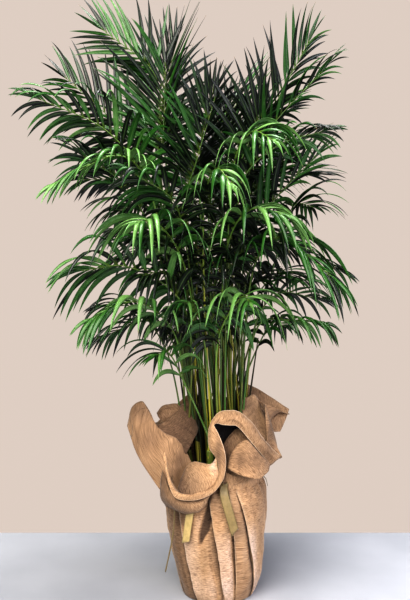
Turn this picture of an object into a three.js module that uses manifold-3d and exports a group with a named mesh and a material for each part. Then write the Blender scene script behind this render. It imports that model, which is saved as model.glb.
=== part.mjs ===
// A potted areca palm: a clump of slender shoots in a plain nursery pot, dressed in one sheet of
// crinkled brown paper that is tied round its neck, above the pot's rim, and folded out as a collar.
// Millimetres, +Z up. The origin is the middle of the flat patch that the wrapped pot stands on.
// +X is to the viewer's right and -Y faces the viewer. Angles turn from +X towards +Y.

import * as THREE from "three";
import { mergeVertices } from "three/addons/utils/BufferGeometryUtils.js";
import Module from "manifold-3d";

const wasm = await Module();
wasm.setup();

// ---------------------------------------------------------------- driving dimensions

const CLEARANCE = 0.4; // gap kept between pieces that touch
const PAPER = 1.6; // thickness of the wrap, crinkles included

const POT_FLOOR_Z = PAPER + CLEARANCE;
const POT_HEIGHT = 288;
const POT_BASE_RADIUS = 94;
const POT_TOP_RADIUS = 130;
const POT_WALL = 2.2;
const POT_RIM_RADIUS = 135;
const POT_RIM_DEPTH = 14;
const POT_SIDES = 24;

const SOIL_DEPTH_BELOW_RIM = 26;
const SOIL_CROWN = 5; // the soil is a little higher in the middle
const SOIL_SIDES = 16;

const CANE_ROOT_DEPTH = 42; // length of each cane that stands in the soil
const CANE_STRAIGHT = 11; // height above the soil's edge at which a cane starts to lean
const CANE_FOOT_RADIUS = 6.4;
const CANE_TOP_RADIUS = 10.4; // swollen by the leaf bases it carries
const CANE_SIDES = 6;
const CANE_ELBOW = { lean: 0.3, height: 0.5 }; // shares of a cane's lean and height at its elbow
const SOCKET_DEPTH = 20; // how far a leaf stalk sits in the top of its cane
const SOCKET_SPREAD = 4.8; // from the cane's middle to each stalk's middle
const SOCKET_ROOM = 0.85; // gap round each stalk in its socket

const STALK_RADIUS = 3.7;
const RIB_START_RADIUS = 2.9;
const RIB_TIP_RADIUS = 1.5;

const LEAFLET_WIDTH = 17;
const LEAFLET_THICKNESS = 1.8;
const LONG_LEAFLET = 211; // leaflets at least this long are given one more bend

// Places along a leaflet, and the shares of its width and thickness that it has there.
const LONG_SHAPE = { stations: [0, 0.3, 0.68, 1], shares: [0.42, 1, 0.74, 0] };
const SHORT_SHAPE = { stations: [0, 0.42, 1], shares: [0.42, 1, 0] };
const LEAFLET_BEND_STEPS = 8;
const DROOP_STRENGTH = 1.25; // pull of a leaflet's weight at its tip, for a droop of one
const DROOP_GROWTH = 1.65; // how steeply that pull grows from the leaflet's root to its tip
const MOST_SLANT = 0.5; // a leaflet cut along its rib is at most this much narrower across
const ELBOW_ROOM = 0.7; // air kept round every leaflet

// Leaflets stand out widely at the foot of a frond and close up towards its tip, in degrees.
const LOW_SPREAD = 68;
const HIGH_SPREAD = 26;
const SPREAD_SCATTER = 8;
const LIFT_SCATTER = 14;
const HIGH_WIDTH_SHARE = 0.75; // leaflets by the tip are this much narrower than the lowest
const CLOSING_POWER = 1.2; // how late along the frond they close up

// Shares of the leafy part: where its lowest leaflets stand, and the length its leaflets take up.
const FIRST_LEAFLET = 0.02;
const LEAFLETS_SPAN = 0.94;

// A leaflet's length follows this stretch of half a wave, so that the middle ones are longest.
const SWELL = { start: 0.22, span: 0.62, power: 0.8 };
const LENGTH_SCATTER = 0.08;
const DROOP_SCATTER = 0.2;

// The leaflet that ends the frond: its angles, and its length, droop and width beside the others.
const LAST_LEAFLET = { ribShare: 0.985, spread: 3, lift: 60, length: 0.45, droop: 0.5, width: 0.7 };
const LEAFLET_SEED = 20;

const WRAP_COLUMNS = 44;
const BASE_FLAT_RADIUS = 95;
const TIE_Z = 352;
const TIE_RADIUS = 128;
const TIE_GROOVE = 6; // half the height of the neck that the tie closes
const PLEAT_RISE = 0.12; // share of a pleat's width on which it stands up from under the next

// ---------------------------------------------------------------- colours and finishes

const FINISHES = {
  pot: { color: "#2e2e2c", roughness: 0.55, metalness: 0 },
  soil: { color: "#3a2a1e", roughness: 1, metalness: 0 },
  cane: { color: "#8d9a3c", roughness: 0.45, metalness: 0 },
  foliage: { color: "#2f6b26", roughness: 0.4, metalness: 0 },
  paper: { color: "#c09a6b", roughness: 0.85, metalness: 0 },
  tie: { color: "#aca45a", roughness: 0.5, metalness: 0 },
};

// ---------------------------------------------------------------- the plant's plan

// Each cane: where it stands in the soil, and where its top is.
const CANES = [
  { foot: [-48, 12], top: [-62, 17, 470] },
  { foot: [-42, -28], top: [-56, -32, 450] },
  { foot: [-20, 34], top: [-30, 42, 490] },
  { foot: [4, 4], top: [2, 6, 500] },
  { foot: [30, 28], top: [38, 36, 480] },
  { foot: [36, -14], top: [46, -18, 460] },
  { foot: [14, -42], top: [16, -56, 450] },
  { foot: [-16, -48], top: [-20, -66, 430] },
  { foot: [58, 12], top: [74, 18, 450] },
  { foot: [46, -46], top: [62, -56, 420] },
  { foot: [-64, -8], top: [-84, -14, 420] },
  { foot: [-2, -66], top: [2, -82, 400] },
  { foot: [-46, 52], top: [-62, 66, 430] },
  { foot: [18, 66], top: [24, 82, 440] },
];

function frond(name, cane, path, [pairs, leaflet, droop, lift, turn]) {
  return { name, cane, path, pairs, leaflet, droop, lift, turn };
}

// Each frond: its cane, the start, middle and tip of its leafy part, and then the pairs of leaflets
// on it, the longest leaflet, how much the leaflets droop, how far they are raised over the rib,
// and how far the frond's upper face is turned to the front.
const FRONDS = [
  frond("top_left", 0, [[-171, 40, 1287], [-179, 60, 1511], [-335, 60, 1648]], [10, 209, 0.3, 20, 77]),
  frond("left_mid_back", 0, [[-114, 20, 1060], [-268, 40, 1202], [-400, 60, 1212]], [7, 167, 1.1, 22, 32]),
  frond("upper_left", 1, [[-183, -40, 1158], [-303, -80, 1330], [-485, -110, 1414]],
    [10, 190, 1.2, 20, 40]),
  frond("upper_left_low", 1, [[-207, -90, 1215], [-272, -150, 1257], [-421, -190, 1184]],
    [7, 166, 1.9, 20, 12]),
  frond("top_centre_left", 2, [[-152, 30, 1284], [-162, 50, 1412], [-124, 80, 1601]],
    [8, 262, 0.2, 26, 13]),
  frond("back_left_centre", 2, [[-48, 140, 1032], [-57, 250, 1160], [-104, 380, 1059]],
    [7, 211, 1.2, 24, -4]),
  frond("centre_upright", 3, [[-51, -20, 1189], [-43, -40, 1324], [-12, -60, 1449]], [7, 184, 0.4, 24, 18]),
  frond("back_high", 3, [[18, 96, 1163], [51, 180, 1379], [68, 300, 1496]], [7, 250, 0.5, 24, 26]),
  frond("top_right", 4, [[78, 30, 1239], [179, 50, 1445], [268, 60, 1612]], [9, 208, 0.5, 20, 49]),
  frond("back_right_high", 4, [[45, 140, 1059], [102, 262, 1218], [171, 390, 1180]],
    [7, 220, 1.1, 24, -10]),
  frond("right_up", 5, [[78, -20, 1166], [138, -40, 1329], [288, -60, 1497]], [8, 209, 0.7, 22, 11]),
  frond("right_arch", 5, [[62, -60, 1181], [161, -100, 1288], [281, -130, 1324]], [7, 152, 1.2, 20, 19]),
  frond("front_high", 6, [[48, -120, 1255], [90, -210, 1312], [134, -280, 1282]], [6, 177, 2.4, 18, -23]),
  frond("front_right", 6, [[29, -120, 1024], [87, -200, 1111], [165, -250, 1094]], [8, 194, 3.0, 16, -4]),
  frond("front_small", 7, [[-36, -130, 1142], [-4, -220, 1216], [34, -285, 1167]], [6, 141, 3.1, 18, -2]),
  frond("front_left", 7, [[-97, -120, 976], [-167, -220, 1078], [-204, -290, 1071]], [8, 216, 2.2, 20, 6]),
  frond("right_back", 8, [[73, 60, 1142], [161, 110, 1224], [287, 150, 1233]], [7, 197, 0.5, 24, 5]),
  frond("right_mid", 8, [[77, 20, 997], [156, 30, 1135], [287, 30, 1274]], [7, 222, 0.6, 22, 29]),
  frond("right_hanging", 9, [[106, -60, 965], [167, -140, 1038], [292, -205, 939]], [10, 257, 2.3, 16, 3]),
  frond("right_low", 9, [[124, -30, 794], [212, -60, 805], [286, -90, 801]], [6, 148, 2.4, 18, 16]),
  frond("left_mid", 10, [[-96, -130, 855], [-248, -135, 959], [-362, -170, 949]], [9, 235, 1.8, 18, 42]),
  frond("left_low", 10, [[-122, -90, 774], [-221, -160, 864], [-328, -215, 826]], [8, 187, 2.3, 16, 10]),
  frond("front_low", 11, [[3, -110, 761], [65, -190, 880], [81, -255, 868]], [7, 214, 2.9, 16, 4]),
  frond("front_left_low", 11, [[-95, -90, 636], [-137, -145, 725], [-164, -190, 722]],
    [6, 159, 1.5, 18, 3]),
  frond("left_back_low", 12, [[-128, 40, 727], [-205, 80, 790], [-336, 110, 746]], [6, 187, 2.0, 20, 10]),
  frond("back_left", 12, [[-99, 156, 822], [-162, 252, 1011], [-322, 340, 973]], [7, 216, 1.4, 20, -2]),
  frond("back_right", 13, [[109, 150, 833], [207, 240, 934], [268, 326, 909]], [7, 203, 1.8, 20, -3]),
  frond("back_low", 13, [[88, 176, 753], [45, 268, 875], [69, 370, 788]], [6, 194, 1.7, 20, 6]),
];

// How the paper stands over the tie, at angles round the pot: radius and height of six places on
// the way from the tie to the hem.
const COLLAR = [
  { angle: 5, folds: [[148, 380], [165, 405], [162, 445], [150, 490], [140, 530], [128, 560]] },
  { angle: 22, folds: [[145, 385], [158, 420], [164, 460], [178, 500], [205, 515], [240, 505]] },
  { angle: 38, folds: [[140, 388], [148, 435], [152, 485], [160, 530], [180, 548], [205, 540]] },
  { angle: 55, folds: [[136, 390], [140, 440], [143, 490], [146, 535], [150, 570], [154, 590]] },
  { angle: 75, folds: [[132, 388], [134, 425], [136, 465], [138, 500], [142, 530], [148, 550]] },
  { angle: 100, folds: [[132, 385], [134, 420], [138, 455], [142, 490], [148, 520], [156, 540]] },
  { angle: 125, folds: [[134, 388], [138, 430], [142, 470], [145, 510], [147, 540], [148, 562]] },
  { angle: 148, folds: [[138, 388], [148, 430], [158, 470], [165, 500], [178, 512], [190, 490]] },
  { angle: 165, folds: [[140, 388], [152, 420], [160, 450], [168, 480], [185, 488], [200, 468]] },
  { angle: 180, folds: [[142, 392], [158, 430], [178, 475], [196, 510], [222, 512], [240, 480]] },
  { angle: 195, folds: [[148, 400], [178, 468], [205, 538], [220, 570], [250, 554], [264, 500]] },
  { angle: 207, folds: [[140, 395], [162, 450], [184, 497], [199, 516], [234, 490], [240, 412]] },
  { angle: 220, folds: [[128, 400], [136, 442], [150, 470], [186, 452], [207, 385], [204, 314]] },
  { angle: 234, folds: [[118, 390], [119, 424], [132, 441], [164, 424], [182, 362], [179, 301]] },
  { angle: 247, folds: [[114, 376], [113, 395], [126, 404], [152, 390], [168, 345], [167, 299]] },
  { angle: 258, folds: [[112, 392], [112, 432], [126, 449], [152, 430], [167, 380], [165, 318]] },
  { angle: 268, folds: [[110, 412], [108, 480], [124, 520], [152, 498], [160, 430], [163, 352]] },
  { angle: 280, folds: [[110, 430], [110, 500], [128, 545], [157, 512], [138, 462], [184, 394]] },
  { angle: 293, folds: [[113, 430], [114, 500], [132, 543], [161, 512], [141, 466], [190, 396]] },
  { angle: 306, folds: [[120, 420], [128, 480], [149, 510], [176, 486], [162, 446], [192, 402]] },
  { angle: 320, folds: [[138, 392], [152, 425], [168, 450], [190, 438], [190, 414], [192, 390]] },
  { angle: 335, folds: [[152, 375], [178, 395], [180, 425], [170, 452], [162, 474], [150, 492]] },
  { angle: 350, folds: [[150, 374], [178, 400], [174, 436], [158, 480], [138, 525], [120, 562]] },
];

// ---------------------------------------------------------------- small helpers

const UP = new THREE.Vector3(0, 0, 1);
const vector = (list) => new THREE.Vector3(...list);
const radians = THREE.MathUtils.degToRad;

// Repeatable random numbers from 0 to 1.
function makeRandom(seed) {
  let state = seed;
  return () => {
    state = (state + 0x6d2b79f5) | 0;
    let mixed = Math.imul(state ^ (state >>> 15), 1 | state);
    mixed = (mixed + Math.imul(mixed ^ (mixed >>> 7), 61 | mixed)) ^ mixed;
    return ((mixed ^ (mixed >>> 14)) >>> 0) / 4294967296;
  };
}

function polar(radius, angle, z) {
  return new THREE.Vector3(radius * Math.cos(angle), radius * Math.sin(angle), z);
}

// The template's shared corners are merged and each corner is moved to where place() puts it.
function reshape(template, place) {
  const bare = template.clone();
  bare.deleteAttribute("normal");
  bare.deleteAttribute("uv");
  const geometry = mergeVertices(bare);
  const corners = geometry.getAttribute("position");
  const corner = new THREE.Vector3();
  for (let i = 0; i < corners.count; i += 1) {
    corner.fromBufferAttribute(corners, i);
    const moved = place(corner);
    corners.setXYZ(i, moved.x, moved.y, moved.z);
  }
  return geometry;
}

function solidOf(geometry) {
  const bare = geometry.clone();
  bare.deleteAttribute("normal");
  bare.deleteAttribute("uv");
  const merged = mergeVertices(bare);
  const vertProperties = Float32Array.from(merged.getAttribute("position").array);
  const triVerts = Uint32Array.from(merged.getIndex().array);
  return new wasm.Manifold(new wasm.Mesh({ numProp: 3, vertProperties, triVerts }));
}

function geometryOf(solid) {
  const mesh = solid.getMesh();
  const geometry = new THREE.BufferGeometry();
  geometry.setAttribute("position", new THREE.BufferAttribute(mesh.vertProperties, 3));
  geometry.setIndex(new THREE.BufferAttribute(mesh.triVerts, 1));
  return geometry;
}

// A rod through rings of corners. Each ring has a middle, two directions across and a radius.
function rod(rings, sides) {
  const spans = rings.length - 1;
  const template = new THREE.CylinderGeometry(1, 1, 1, sides, spans);
  return reshape(template, (corner) => {
    const ring = rings[Math.round((corner.y + 0.5) * spans)];
    const moved = ring.middle.clone();
    moved.addScaledVector(ring.across, corner.x * ring.radius);
    return moved.addScaledVector(ring.over, corner.z * ring.radius);
  });
}

// ---------------------------------------------------------------- pot and soil

function wallRadius(z) {
  const share = (z - POT_FLOOR_Z) / POT_HEIGHT;
  return THREE.MathUtils.lerp(POT_BASE_RADIUS, POT_TOP_RADIUS, share);
}

function potGeometry() {
  const top = POT_FLOOR_Z + POT_HEIGHT;
  const rimFoot = top - POT_RIM_DEPTH;
  const floorTop = POT_FLOOR_Z + POT_WALL;
  const outline = [
    [0, POT_FLOOR_Z],
    [POT_BASE_RADIUS, POT_FLOOR_Z],
    [wallRadius(rimFoot), rimFoot],
    [POT_RIM_RADIUS, rimFoot],
    [POT_RIM_RADIUS, top],
    [wallRadius(top) - POT_WALL, top],
    [wallRadius(floorTop) - POT_WALL, floorTop],
    [0, floorTop],
  ];
  return latheAboutZ(outline, POT_SIDES);
}

// A lathe turns its outline about Y; this one stands it up on Z.
function latheAboutZ(outline, sides) {
  const points = outline.map(([radius, z]) => new THREE.Vector2(radius, z));
  return new THREE.LatheGeometry(points, sides).rotateX(Math.PI / 2);
}

const SOIL_EDGE_Z = POT_FLOOR_Z + POT_HEIGHT - SOIL_DEPTH_BELOW_RIM;

// Its sides stay inside the pot's flat facets, which lie nearer the axis than their corners.
function soilGeometry() {
  const facetShare = Math.cos(Math.PI / POT_SIDES);
  const inside = (z) => (wallRadius(z) - POT_WALL) * facetShare - CLEARANCE;
  const floor = POT_FLOOR_Z + POT_WALL + CLEARANCE;
  const outline = [
    [0, floor],
    [inside(floor), floor],
    [inside(SOIL_EDGE_Z), SOIL_EDGE_Z],
    [0, SOIL_EDGE_Z + SOIL_CROWN],
  ];
  let soil = solidOf(latheAboutZ(outline, SOIL_SIDES));
  const holeHeight = CANE_ROOT_DEPTH * 2;
  for (const cane of CANES) {
    const hole = new THREE.CylinderGeometry(
      CANE_FOOT_RADIUS + 2 * CLEARANCE,
      CANE_FOOT_RADIUS + 2 * CLEARANCE,
      holeHeight,
      CANE_SIDES,
    );
    hole.rotateX(Math.PI / 2);
    const bottom = SOIL_EDGE_Z - CANE_ROOT_DEPTH - CLEARANCE;
    hole.translate(cane.foot[0], cane.foot[1], bottom + holeHeight / 2);
    soil = soil.subtract(solidOf(hole));
  }
  return geometryOf(soil);
}

// ---------------------------------------------------------------- canes

// The cane's line: straight up out of the soil, then leaning out to its top.
function caneLine(cane) {
  const [x, y] = cane.foot;
  const foot = new THREE.Vector3(x, y, SOIL_EDGE_Z + CANE_STRAIGHT);
  const top = vector(cane.top);
  const elbow = new THREE.Vector3(
    THREE.MathUtils.lerp(x, top.x, CANE_ELBOW.lean),
    THREE.MathUtils.lerp(y, top.y, CANE_ELBOW.lean),
    THREE.MathUtils.lerp(foot.z, top.z, CANE_ELBOW.height),
  );
  return new THREE.QuadraticBezierCurve3(foot, elbow, top);
}

function caneSolid(cane) {
  const line = caneLine(cane);
  const heading = { across: new THREE.Vector3(1, 0, 0), over: new THREE.Vector3(0, -1, 0) };
  const root = new THREE.Vector3(...cane.foot, SOIL_EDGE_Z - CANE_ROOT_DEPTH);
  const rings = [
    { middle: root, radius: CANE_FOOT_RADIUS, ...heading },
    { middle: line.getPoint(0), radius: CANE_FOOT_RADIUS, ...heading },
    { middle: line.getPoint(1), radius: CANE_TOP_RADIUS, ...heading },
  ];
  return solidOf(rod(rings, CANE_SIDES));
}

// ---------------------------------------------------------------- fronds

// Each frond leaves its cane's top on the side that its leafy part lies on.
function socketOffset(frond) {
  const partner = FRONDS.find((other) => other.cane === frond.cane && other !== frond);
  const apart = vector(frond.path[0]).sub(vector(partner.path[0]));
  apart.z = 0;
  return apart.normalize().multiplyScalar(SOCKET_SPREAD);
}

// The stalk's and rib's line, from the bottom of the socket to the frond's tip.
function ribLine(frond) {
  const line = caneLine(CANES[frond.cane]);
  const aim = line.getTangent(1);
  const mouth = line.getPoint(1).add(socketOffset(frond));
  const bottom = mouth.clone().addScaledVector(aim, -SOCKET_DEPTH);
  const collar = mouth.clone().addScaledVector(aim, SOCKET_DEPTH / 2);
  const path = frond.path.map(vector);
  return new THREE.CatmullRomCurve3([bottom, collar, ...path], false, "centripetal");
}

const LEAFY_START = 0.5; // share of the line's five points where the leafy part begins

const RIB_SHARES = [0, 0.25, 0.37, 0.5, 0.62, 0.74, 0.87, 1]; // where the rib's rings are

// The middle of the rib, on the straight stretches between its rings.
function ribMiddle(line, share) {
  const next = Math.max(1, RIB_SHARES.findIndex((stop) => stop >= share));
  const [before, after] = [RIB_SHARES[next - 1], RIB_SHARES[next]];
  const start = line.getPoint(before);
  return start.lerp(line.getPoint(after), (share - before) / (after - before));
}

// The rib's side and top directions at a place on its line.
function ribFrame(frond, line, share) {
  const along = line.getTangent(share);
  const heading = vector(frond.path[2]).sub(vector(frond.path[0]));
  heading.z = 0;
  const side = heading.normalize().cross(UP);
  side.addScaledVector(along, -side.dot(along)).normalize();
  const turn = radians(frond.turn) * Math.min(1, share / LEAFY_START) * (side.y > 0 ? -1 : 1);
  side.applyAxisAngle(along, -turn);
  const over = side.clone().cross(along);
  return { middle: ribMiddle(line, share), along, side, over };
}

// The stalk and rib of a frond. With room it is the hole that the stalk stands in.
function ribSolid(frond, room = 0) {
  const line = ribLine(frond);
  const rings = RIB_SHARES.map((share) => {
    const { middle, along, side, over } = ribFrame(frond, line, share);
    if (share === 0) {
      middle.addScaledVector(along, -room);
    }
    const leafy = (share - LEAFY_START) / (1 - LEAFY_START);
    const stalk = THREE.MathUtils.lerp(STALK_RADIUS, RIB_START_RADIUS, share / LEAFY_START);
    const rib = THREE.MathUtils.lerp(RIB_START_RADIUS, RIB_TIP_RADIUS, leafy);
    const radius = (leafy < 0 ? stalk : rib) + room;
    // Turned by an eighth, so that a flat of the square section faces each row of leaflets.
    const across = side.clone().add(over).normalize();
    return { middle, across, over: over.sub(side).normalize(), radius };
  });
  return solidOf(rod(rings, 4));
}

const CONE_CORNER_X = Math.sin(Math.PI / 3);

// One leaflet: a thin keeled blade from inside the rib, bending down under its own weight. Its
// width is laid along the rib, so that no corner of its root comes out on the rib's far side.
function leafletSolid(leaflet, room) {
  const step = leaflet.length / LEAFLET_BEND_STEPS;
  const places = [leaflet.root.clone()];
  const headings = [];
  for (let i = 0; i < LEAFLET_BEND_STEPS; i += 1) {
    const reach = (i + 0.5) / LEAFLET_BEND_STEPS;
    const bend = leaflet.droop * DROOP_STRENGTH * reach ** DROOP_GROWTH;
    const heading = leaflet.aim.clone().addScaledVector(UP, -bend).normalize();
    headings.push(heading);
    places.push(places[i].clone().addScaledVector(heading, step));
  }
  const { stations, shares } = leaflet.length < LONG_LEAFLET ? SHORT_SHAPE : LONG_SHAPE;
  const rows = stations.length - 1;
  // The upper side at the root stays the upper side to the tip, also where the tip hangs.
  const first = headings[Math.floor(stations[1] * LEAFLET_BEND_STEPS)];
  const across = leaflet.across.clone();
  if (across.clone().cross(first).dot(leaflet.ribOver) < 0) {
    across.negate();
  }
  const geometry = reshape(new THREE.ConeGeometry(1, 1, 3, rows), (corner) => {
    const row = Math.round((corner.y + 0.5) * rows);
    const reach = stations[row] * LEAFLET_BEND_STEPS;
    const index = Math.min(Math.floor(reach), LEAFLET_BEND_STEPS - 1);
    const middle = places[index].clone().addScaledVector(headings[index], (reach - index) * step);
    if (row === rows) {
      return middle.addScaledVector(headings[index], room);
    }
    // The first stretch keeps one section, only growing, so that its long faces are flat.
    const heading = headings[Math.floor(stations[Math.max(row, 1)] * LEAFLET_BEND_STEPS)];
    const over = across.clone().cross(heading).normalize();
    const spoke = Math.hypot(corner.x, corner.z) || 1;
    const width = leaflet.width * shares[row] + 2 * room;
    const depth = LEAFLET_THICKNESS * shares[row] + 2 * room;
    middle.addScaledVector(across, ((corner.x / spoke) * width) / (2 * CONE_CORNER_X));
    return middle.addScaledVector(over, ((corner.z / spoke) * depth * 2) / 3);
  });
  return solidOf(geometry);
}

// Where a frond's leaflets spring from its rib, and how they are aimed before any is bent clear.
function leafletPlan(frond, random) {
  const line = ribLine(frond);
  const plan = [];
  const count = frond.pairs * 2;
  for (let i = 0; i < count; i += 1) {
    const leafy = (Math.floor(i / 2) + 0.25 + 0.5 * (i % 2)) / frond.pairs;
    const share = LEAFY_START + (1 - LEAFY_START) * (FIRST_LEAFLET + LEAFLETS_SPAN * leafy);
    const frame = ribFrame(frond, line, share);
    const swell = Math.sin(Math.PI * (SWELL.start + SWELL.span * leafy)) ** SWELL.power;
    const closing = THREE.MathUtils.lerp(LOW_SPREAD, HIGH_SPREAD, leafy ** CLOSING_POWER);
    plan.push({
      frame,
      across: frame.along,
      hand: i % 2 === 0 ? 1 : -1,
      spread: closing + SPREAD_SCATTER * (random() - 0.5),
      lift: frond.lift + LIFT_SCATTER * (random() - 0.5),
      length: frond.leaflet * swell * (1 + LENGTH_SCATTER * (2 * random() - 1)),
      droop: frond.droop * (1 + DROOP_SCATTER * (2 * random() - 1)),
      width: LEAFLET_WIDTH * THREE.MathUtils.lerp(1, HIGH_WIDTH_SHARE, leafy),
    });
  }
  const tip = ribFrame(frond, line, 1);
  const back = ribFrame(frond, line, LAST_LEAFLET.ribShare);
  plan.push({
    frame: { ...tip, middle: back.middle },
    across: tip.side,
    hand: 1,
    spread: LAST_LEAFLET.spread,
    lift: LAST_LEAFLET.lift,
    length: frond.leaflet * LAST_LEAFLET.length,
    droop: frond.droop * LAST_LEAFLET.droop,
    width: LEAFLET_WIDTH * LAST_LEAFLET.width * MOST_SLANT,
  });
  return plan;
}

// Turns and shortenings tried in order until a leaflet is clear of everything else.
const BENDS = [
  [0, 0, 1], [9, 0, 1], [-9, 0, 1], [0, 7, 1], [0, -7, 1], [16, 4, 1], [-16, 4, 1], [14, -8, 1],
  [-14, -8, 1], [24, 0, 0.9], [-24, 0, 0.9], [0, 14, 0.85], [0, -14, 0.85], [30, 8, 0.8],
  [-30, 8, 0.8], [0, 0, 0.75], [12, 0, 0.7], [-12, 0, 0.7], [0, 10, 0.62], [0, -10, 0.62],
  [0, 0, 0.55], [20, 0, 0.5], [-20, 0, 0.5], [0, 0, 0.42],
];

function aimLeaflet(planned, [moreLift, moreSpread, shorten]) {
  const { frame, hand } = planned;
  const spread = radians(planned.spread + moreSpread);
  const lift = radians(planned.lift + moreLift);
  const aim = frame.along.clone().multiplyScalar(Math.cos(spread));
  aim.addScaledVector(frame.side, hand * Math.sin(spread) * Math.cos(lift));
  aim.addScaledVector(frame.over, Math.sin(spread) * Math.sin(lift));
  return {
    root: frame.middle,
    aim,
    across: planned.across,
    ribOver: frame.over,
    length: planned.length * shorten,
    droop: planned.droop,
    width: planned.width / Math.max(MOST_SLANT, Math.sin(spread)),
  };
}

function boxesMeet(a, b) {
  return [0, 1, 2].every((axis) => a.min[axis] <= b.max[axis] && b.min[axis] <= a.max[axis]);
}

function meets(candidate, box, other) {
  if (!boxesMeet(box, other.box)) {
    return false;
  }
  const shared = candidate.intersect(other.solid);
  const meeting = !shared.isEmpty();
  shared.delete();
  return meeting;
}

// ---------------------------------------------------------------- the paper wrap

// Smooth closed course through the collar's stated angles.
function collarAt(angle) {
  const count = COLLAR.length;
  const degrees = THREE.MathUtils.euclideanModulo(THREE.MathUtils.radToDeg(angle), 360);
  let next = COLLAR.findIndex((stop) => stop.angle > degrees);
  if (next < 0) {
    next = count;
  }
  const stop = (index) => {
    const turns = Math.floor(index / count);
    const { angle: at, folds } = COLLAR[index - turns * count];
    return { at: at + 360 * turns, folds };
  };
  const stops = [next - 2, next - 1, next, next + 1].map(stop);
  const share = (degrees - stops[1].at) / (stops[2].at - stops[1].at);
  return stops[1].folds.map((_, place) =>
    [0, 1].map((part) => {
      const [a, b, c, d] = stops.map(({ folds }) => folds[place][part]);
      return catmullRom(a, b, c, d, share);
    }),
  );
}

function catmullRom(a, b, c, d, share) {
  const slopeIn = (c - a) / 2;
  const slopeOut = (d - b) / 2;
  const square = share * share;
  const cube = square * share;
  return (
    (2 * cube - 3 * square + 1) * b +
    (cube - 2 * square + share) * slopeIn +
    (3 * square - 2 * cube) * c +
    (cube - square) * slopeOut
  );
}

// The wrap's pleats are panels that are lapped one over the next. Each panel starts at its free
// edge, at one of these angles, and lies lower and lower until it goes under the next one.
const PLEAT_EDGES = [18, 50, 84, 116, 148, 174, 202, 230, 265, 295, 336];

function pleat(angle) {
  const degrees = THREE.MathUtils.euclideanModulo(THREE.MathUtils.radToDeg(angle), 360);
  const edges = [PLEAT_EDGES.at(-1) - 360, ...PLEAT_EDGES, PLEAT_EDGES[0] + 360];
  const next = edges.findIndex((edge) => edge > degrees);
  const within = (degrees - edges[next - 1]) / (edges[next] - edges[next - 1]);
  if (within < PLEAT_RISE) {
    return within / PLEAT_RISE;
  }
  return 1 - ((within - PLEAT_RISE) / (1 - PLEAT_RISE)) ** 0.8;
}

// The body of the wrap, from the floor to the tie: height, radius and depth of the pleats.
const BODY = [
  [13, 103, 3],
  [66, 111, 6],
  [130, 122, 8],
  [196, 132, 9],
  [252, 138, 9],
  [298, 139.5, 8],
  [326, 136, 7],
];

// The sheet is fuller low down on the right than on the left, and a little fuller in front.
const FULLEST_Z = 60;
const FULL_HEIGHT = 90;
const RIGHT_FULLNESS = 13;
const FRONT_FULLNESS = 4;

function fullness(angle, z) {
  const low = Math.exp(-(((z - FULLEST_Z) / FULL_HEIGHT) ** 2));
  const right = RIGHT_FULLNESS * Math.max(0, Math.cos(angle));
  const front = FRONT_FULLNESS * Math.max(0, Math.sin(-angle));
  return low * (right + front);
}

// The sheet's course at one angle, from the rim of its flat base to its hem.
function sheetCourse(angle) {
  const course = [[BASE_FLAT_RADIUS, 0]];
  for (const [z, radius, depth] of BODY) {
    course.push([radius + depth * pleat(angle) + fullness(angle, z), z]);
  }
  course.push([TIE_RADIUS, TIE_Z - TIE_GROOVE]);
  course.push([TIE_RADIUS, TIE_Z + TIE_GROOVE]);
  return course.concat(collarAt(angle));
}

// The course moved inwards by the paper's thickness.
function innerCourse(course) {
  const points = course.map(([radius, z]) => new THREE.Vector2(radius, z));
  return points.map((point, i) => {
    if (i === 0) {
      return [point.x, PAPER];
    }
    const before = points[i - 1];
    const after = points[Math.min(i + 1, points.length - 1)];
    const ahead = point.clone().sub(before).normalize();
    ahead.add(after.clone().sub(point).normalize()).normalize();
    const corner = Math.max(0.6, ahead.dot(point.clone().sub(before).normalize()));
    return [point.x - (ahead.y * PAPER) / corner, point.y + (ahead.x * PAPER) / corner];
  });
}

// A sphere's rings are laid along the outside of the sheet from the middle of its base to the
// hem, and back down the inside, so that the sheet closes on itself.
function wrapGeometry() {
  const spans = sheetCourse(0).length * 2 + 1;
  const template = new THREE.SphereGeometry(1, WRAP_COLUMNS, spans);
  const courses = [];
  for (let column = 0; column < WRAP_COLUMNS; column += 1) {
    const outside = sheetCourse((column * 2 * Math.PI) / WRAP_COLUMNS);
    courses.push([...outside, ...innerCourse(outside).reverse()]);
  }
  return reshape(template, (corner) => {
    const row = Math.round((Math.acos(THREE.MathUtils.clamp(-corner.y, -1, 1)) / Math.PI) * spans);
    if (row === 0) {
      return new THREE.Vector3(0, 0, 0);
    }
    if (row === spans) {
      return new THREE.Vector3(0, 0, PAPER);
    }
    const turn = Math.atan2(-corner.z, corner.x);
    const column = Math.round((turn * WRAP_COLUMNS) / (2 * Math.PI));
    const wrapped = THREE.MathUtils.euclideanModulo(column, WRAP_COLUMNS);
    const [radius, z] = courses[wrapped][row - 1];
    return polar(radius, (wrapped * 2 * Math.PI) / WRAP_COLUMNS, z);
  });
}

// ---------------------------------------------------------------- the tie

const TIE_BAND_DEPTH = 1.4;
const TIE_BAND_HEIGHT = 7;
const TIE_SIDES = 20;
// The band's flat facets come nearer the neck than its corners do.
const TIE_BAND_RADIUS = (TIE_RADIUS + CLEARANCE) / Math.cos(Math.PI / TIE_SIDES);
const KNOT_ANGLE = radians(278);
const KNOT_SIZE = [11, 8, 9]; // half its width, depth and height
const KNOT_STAND_OFF = 5; // from the band's outside to the knot's middle

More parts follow.
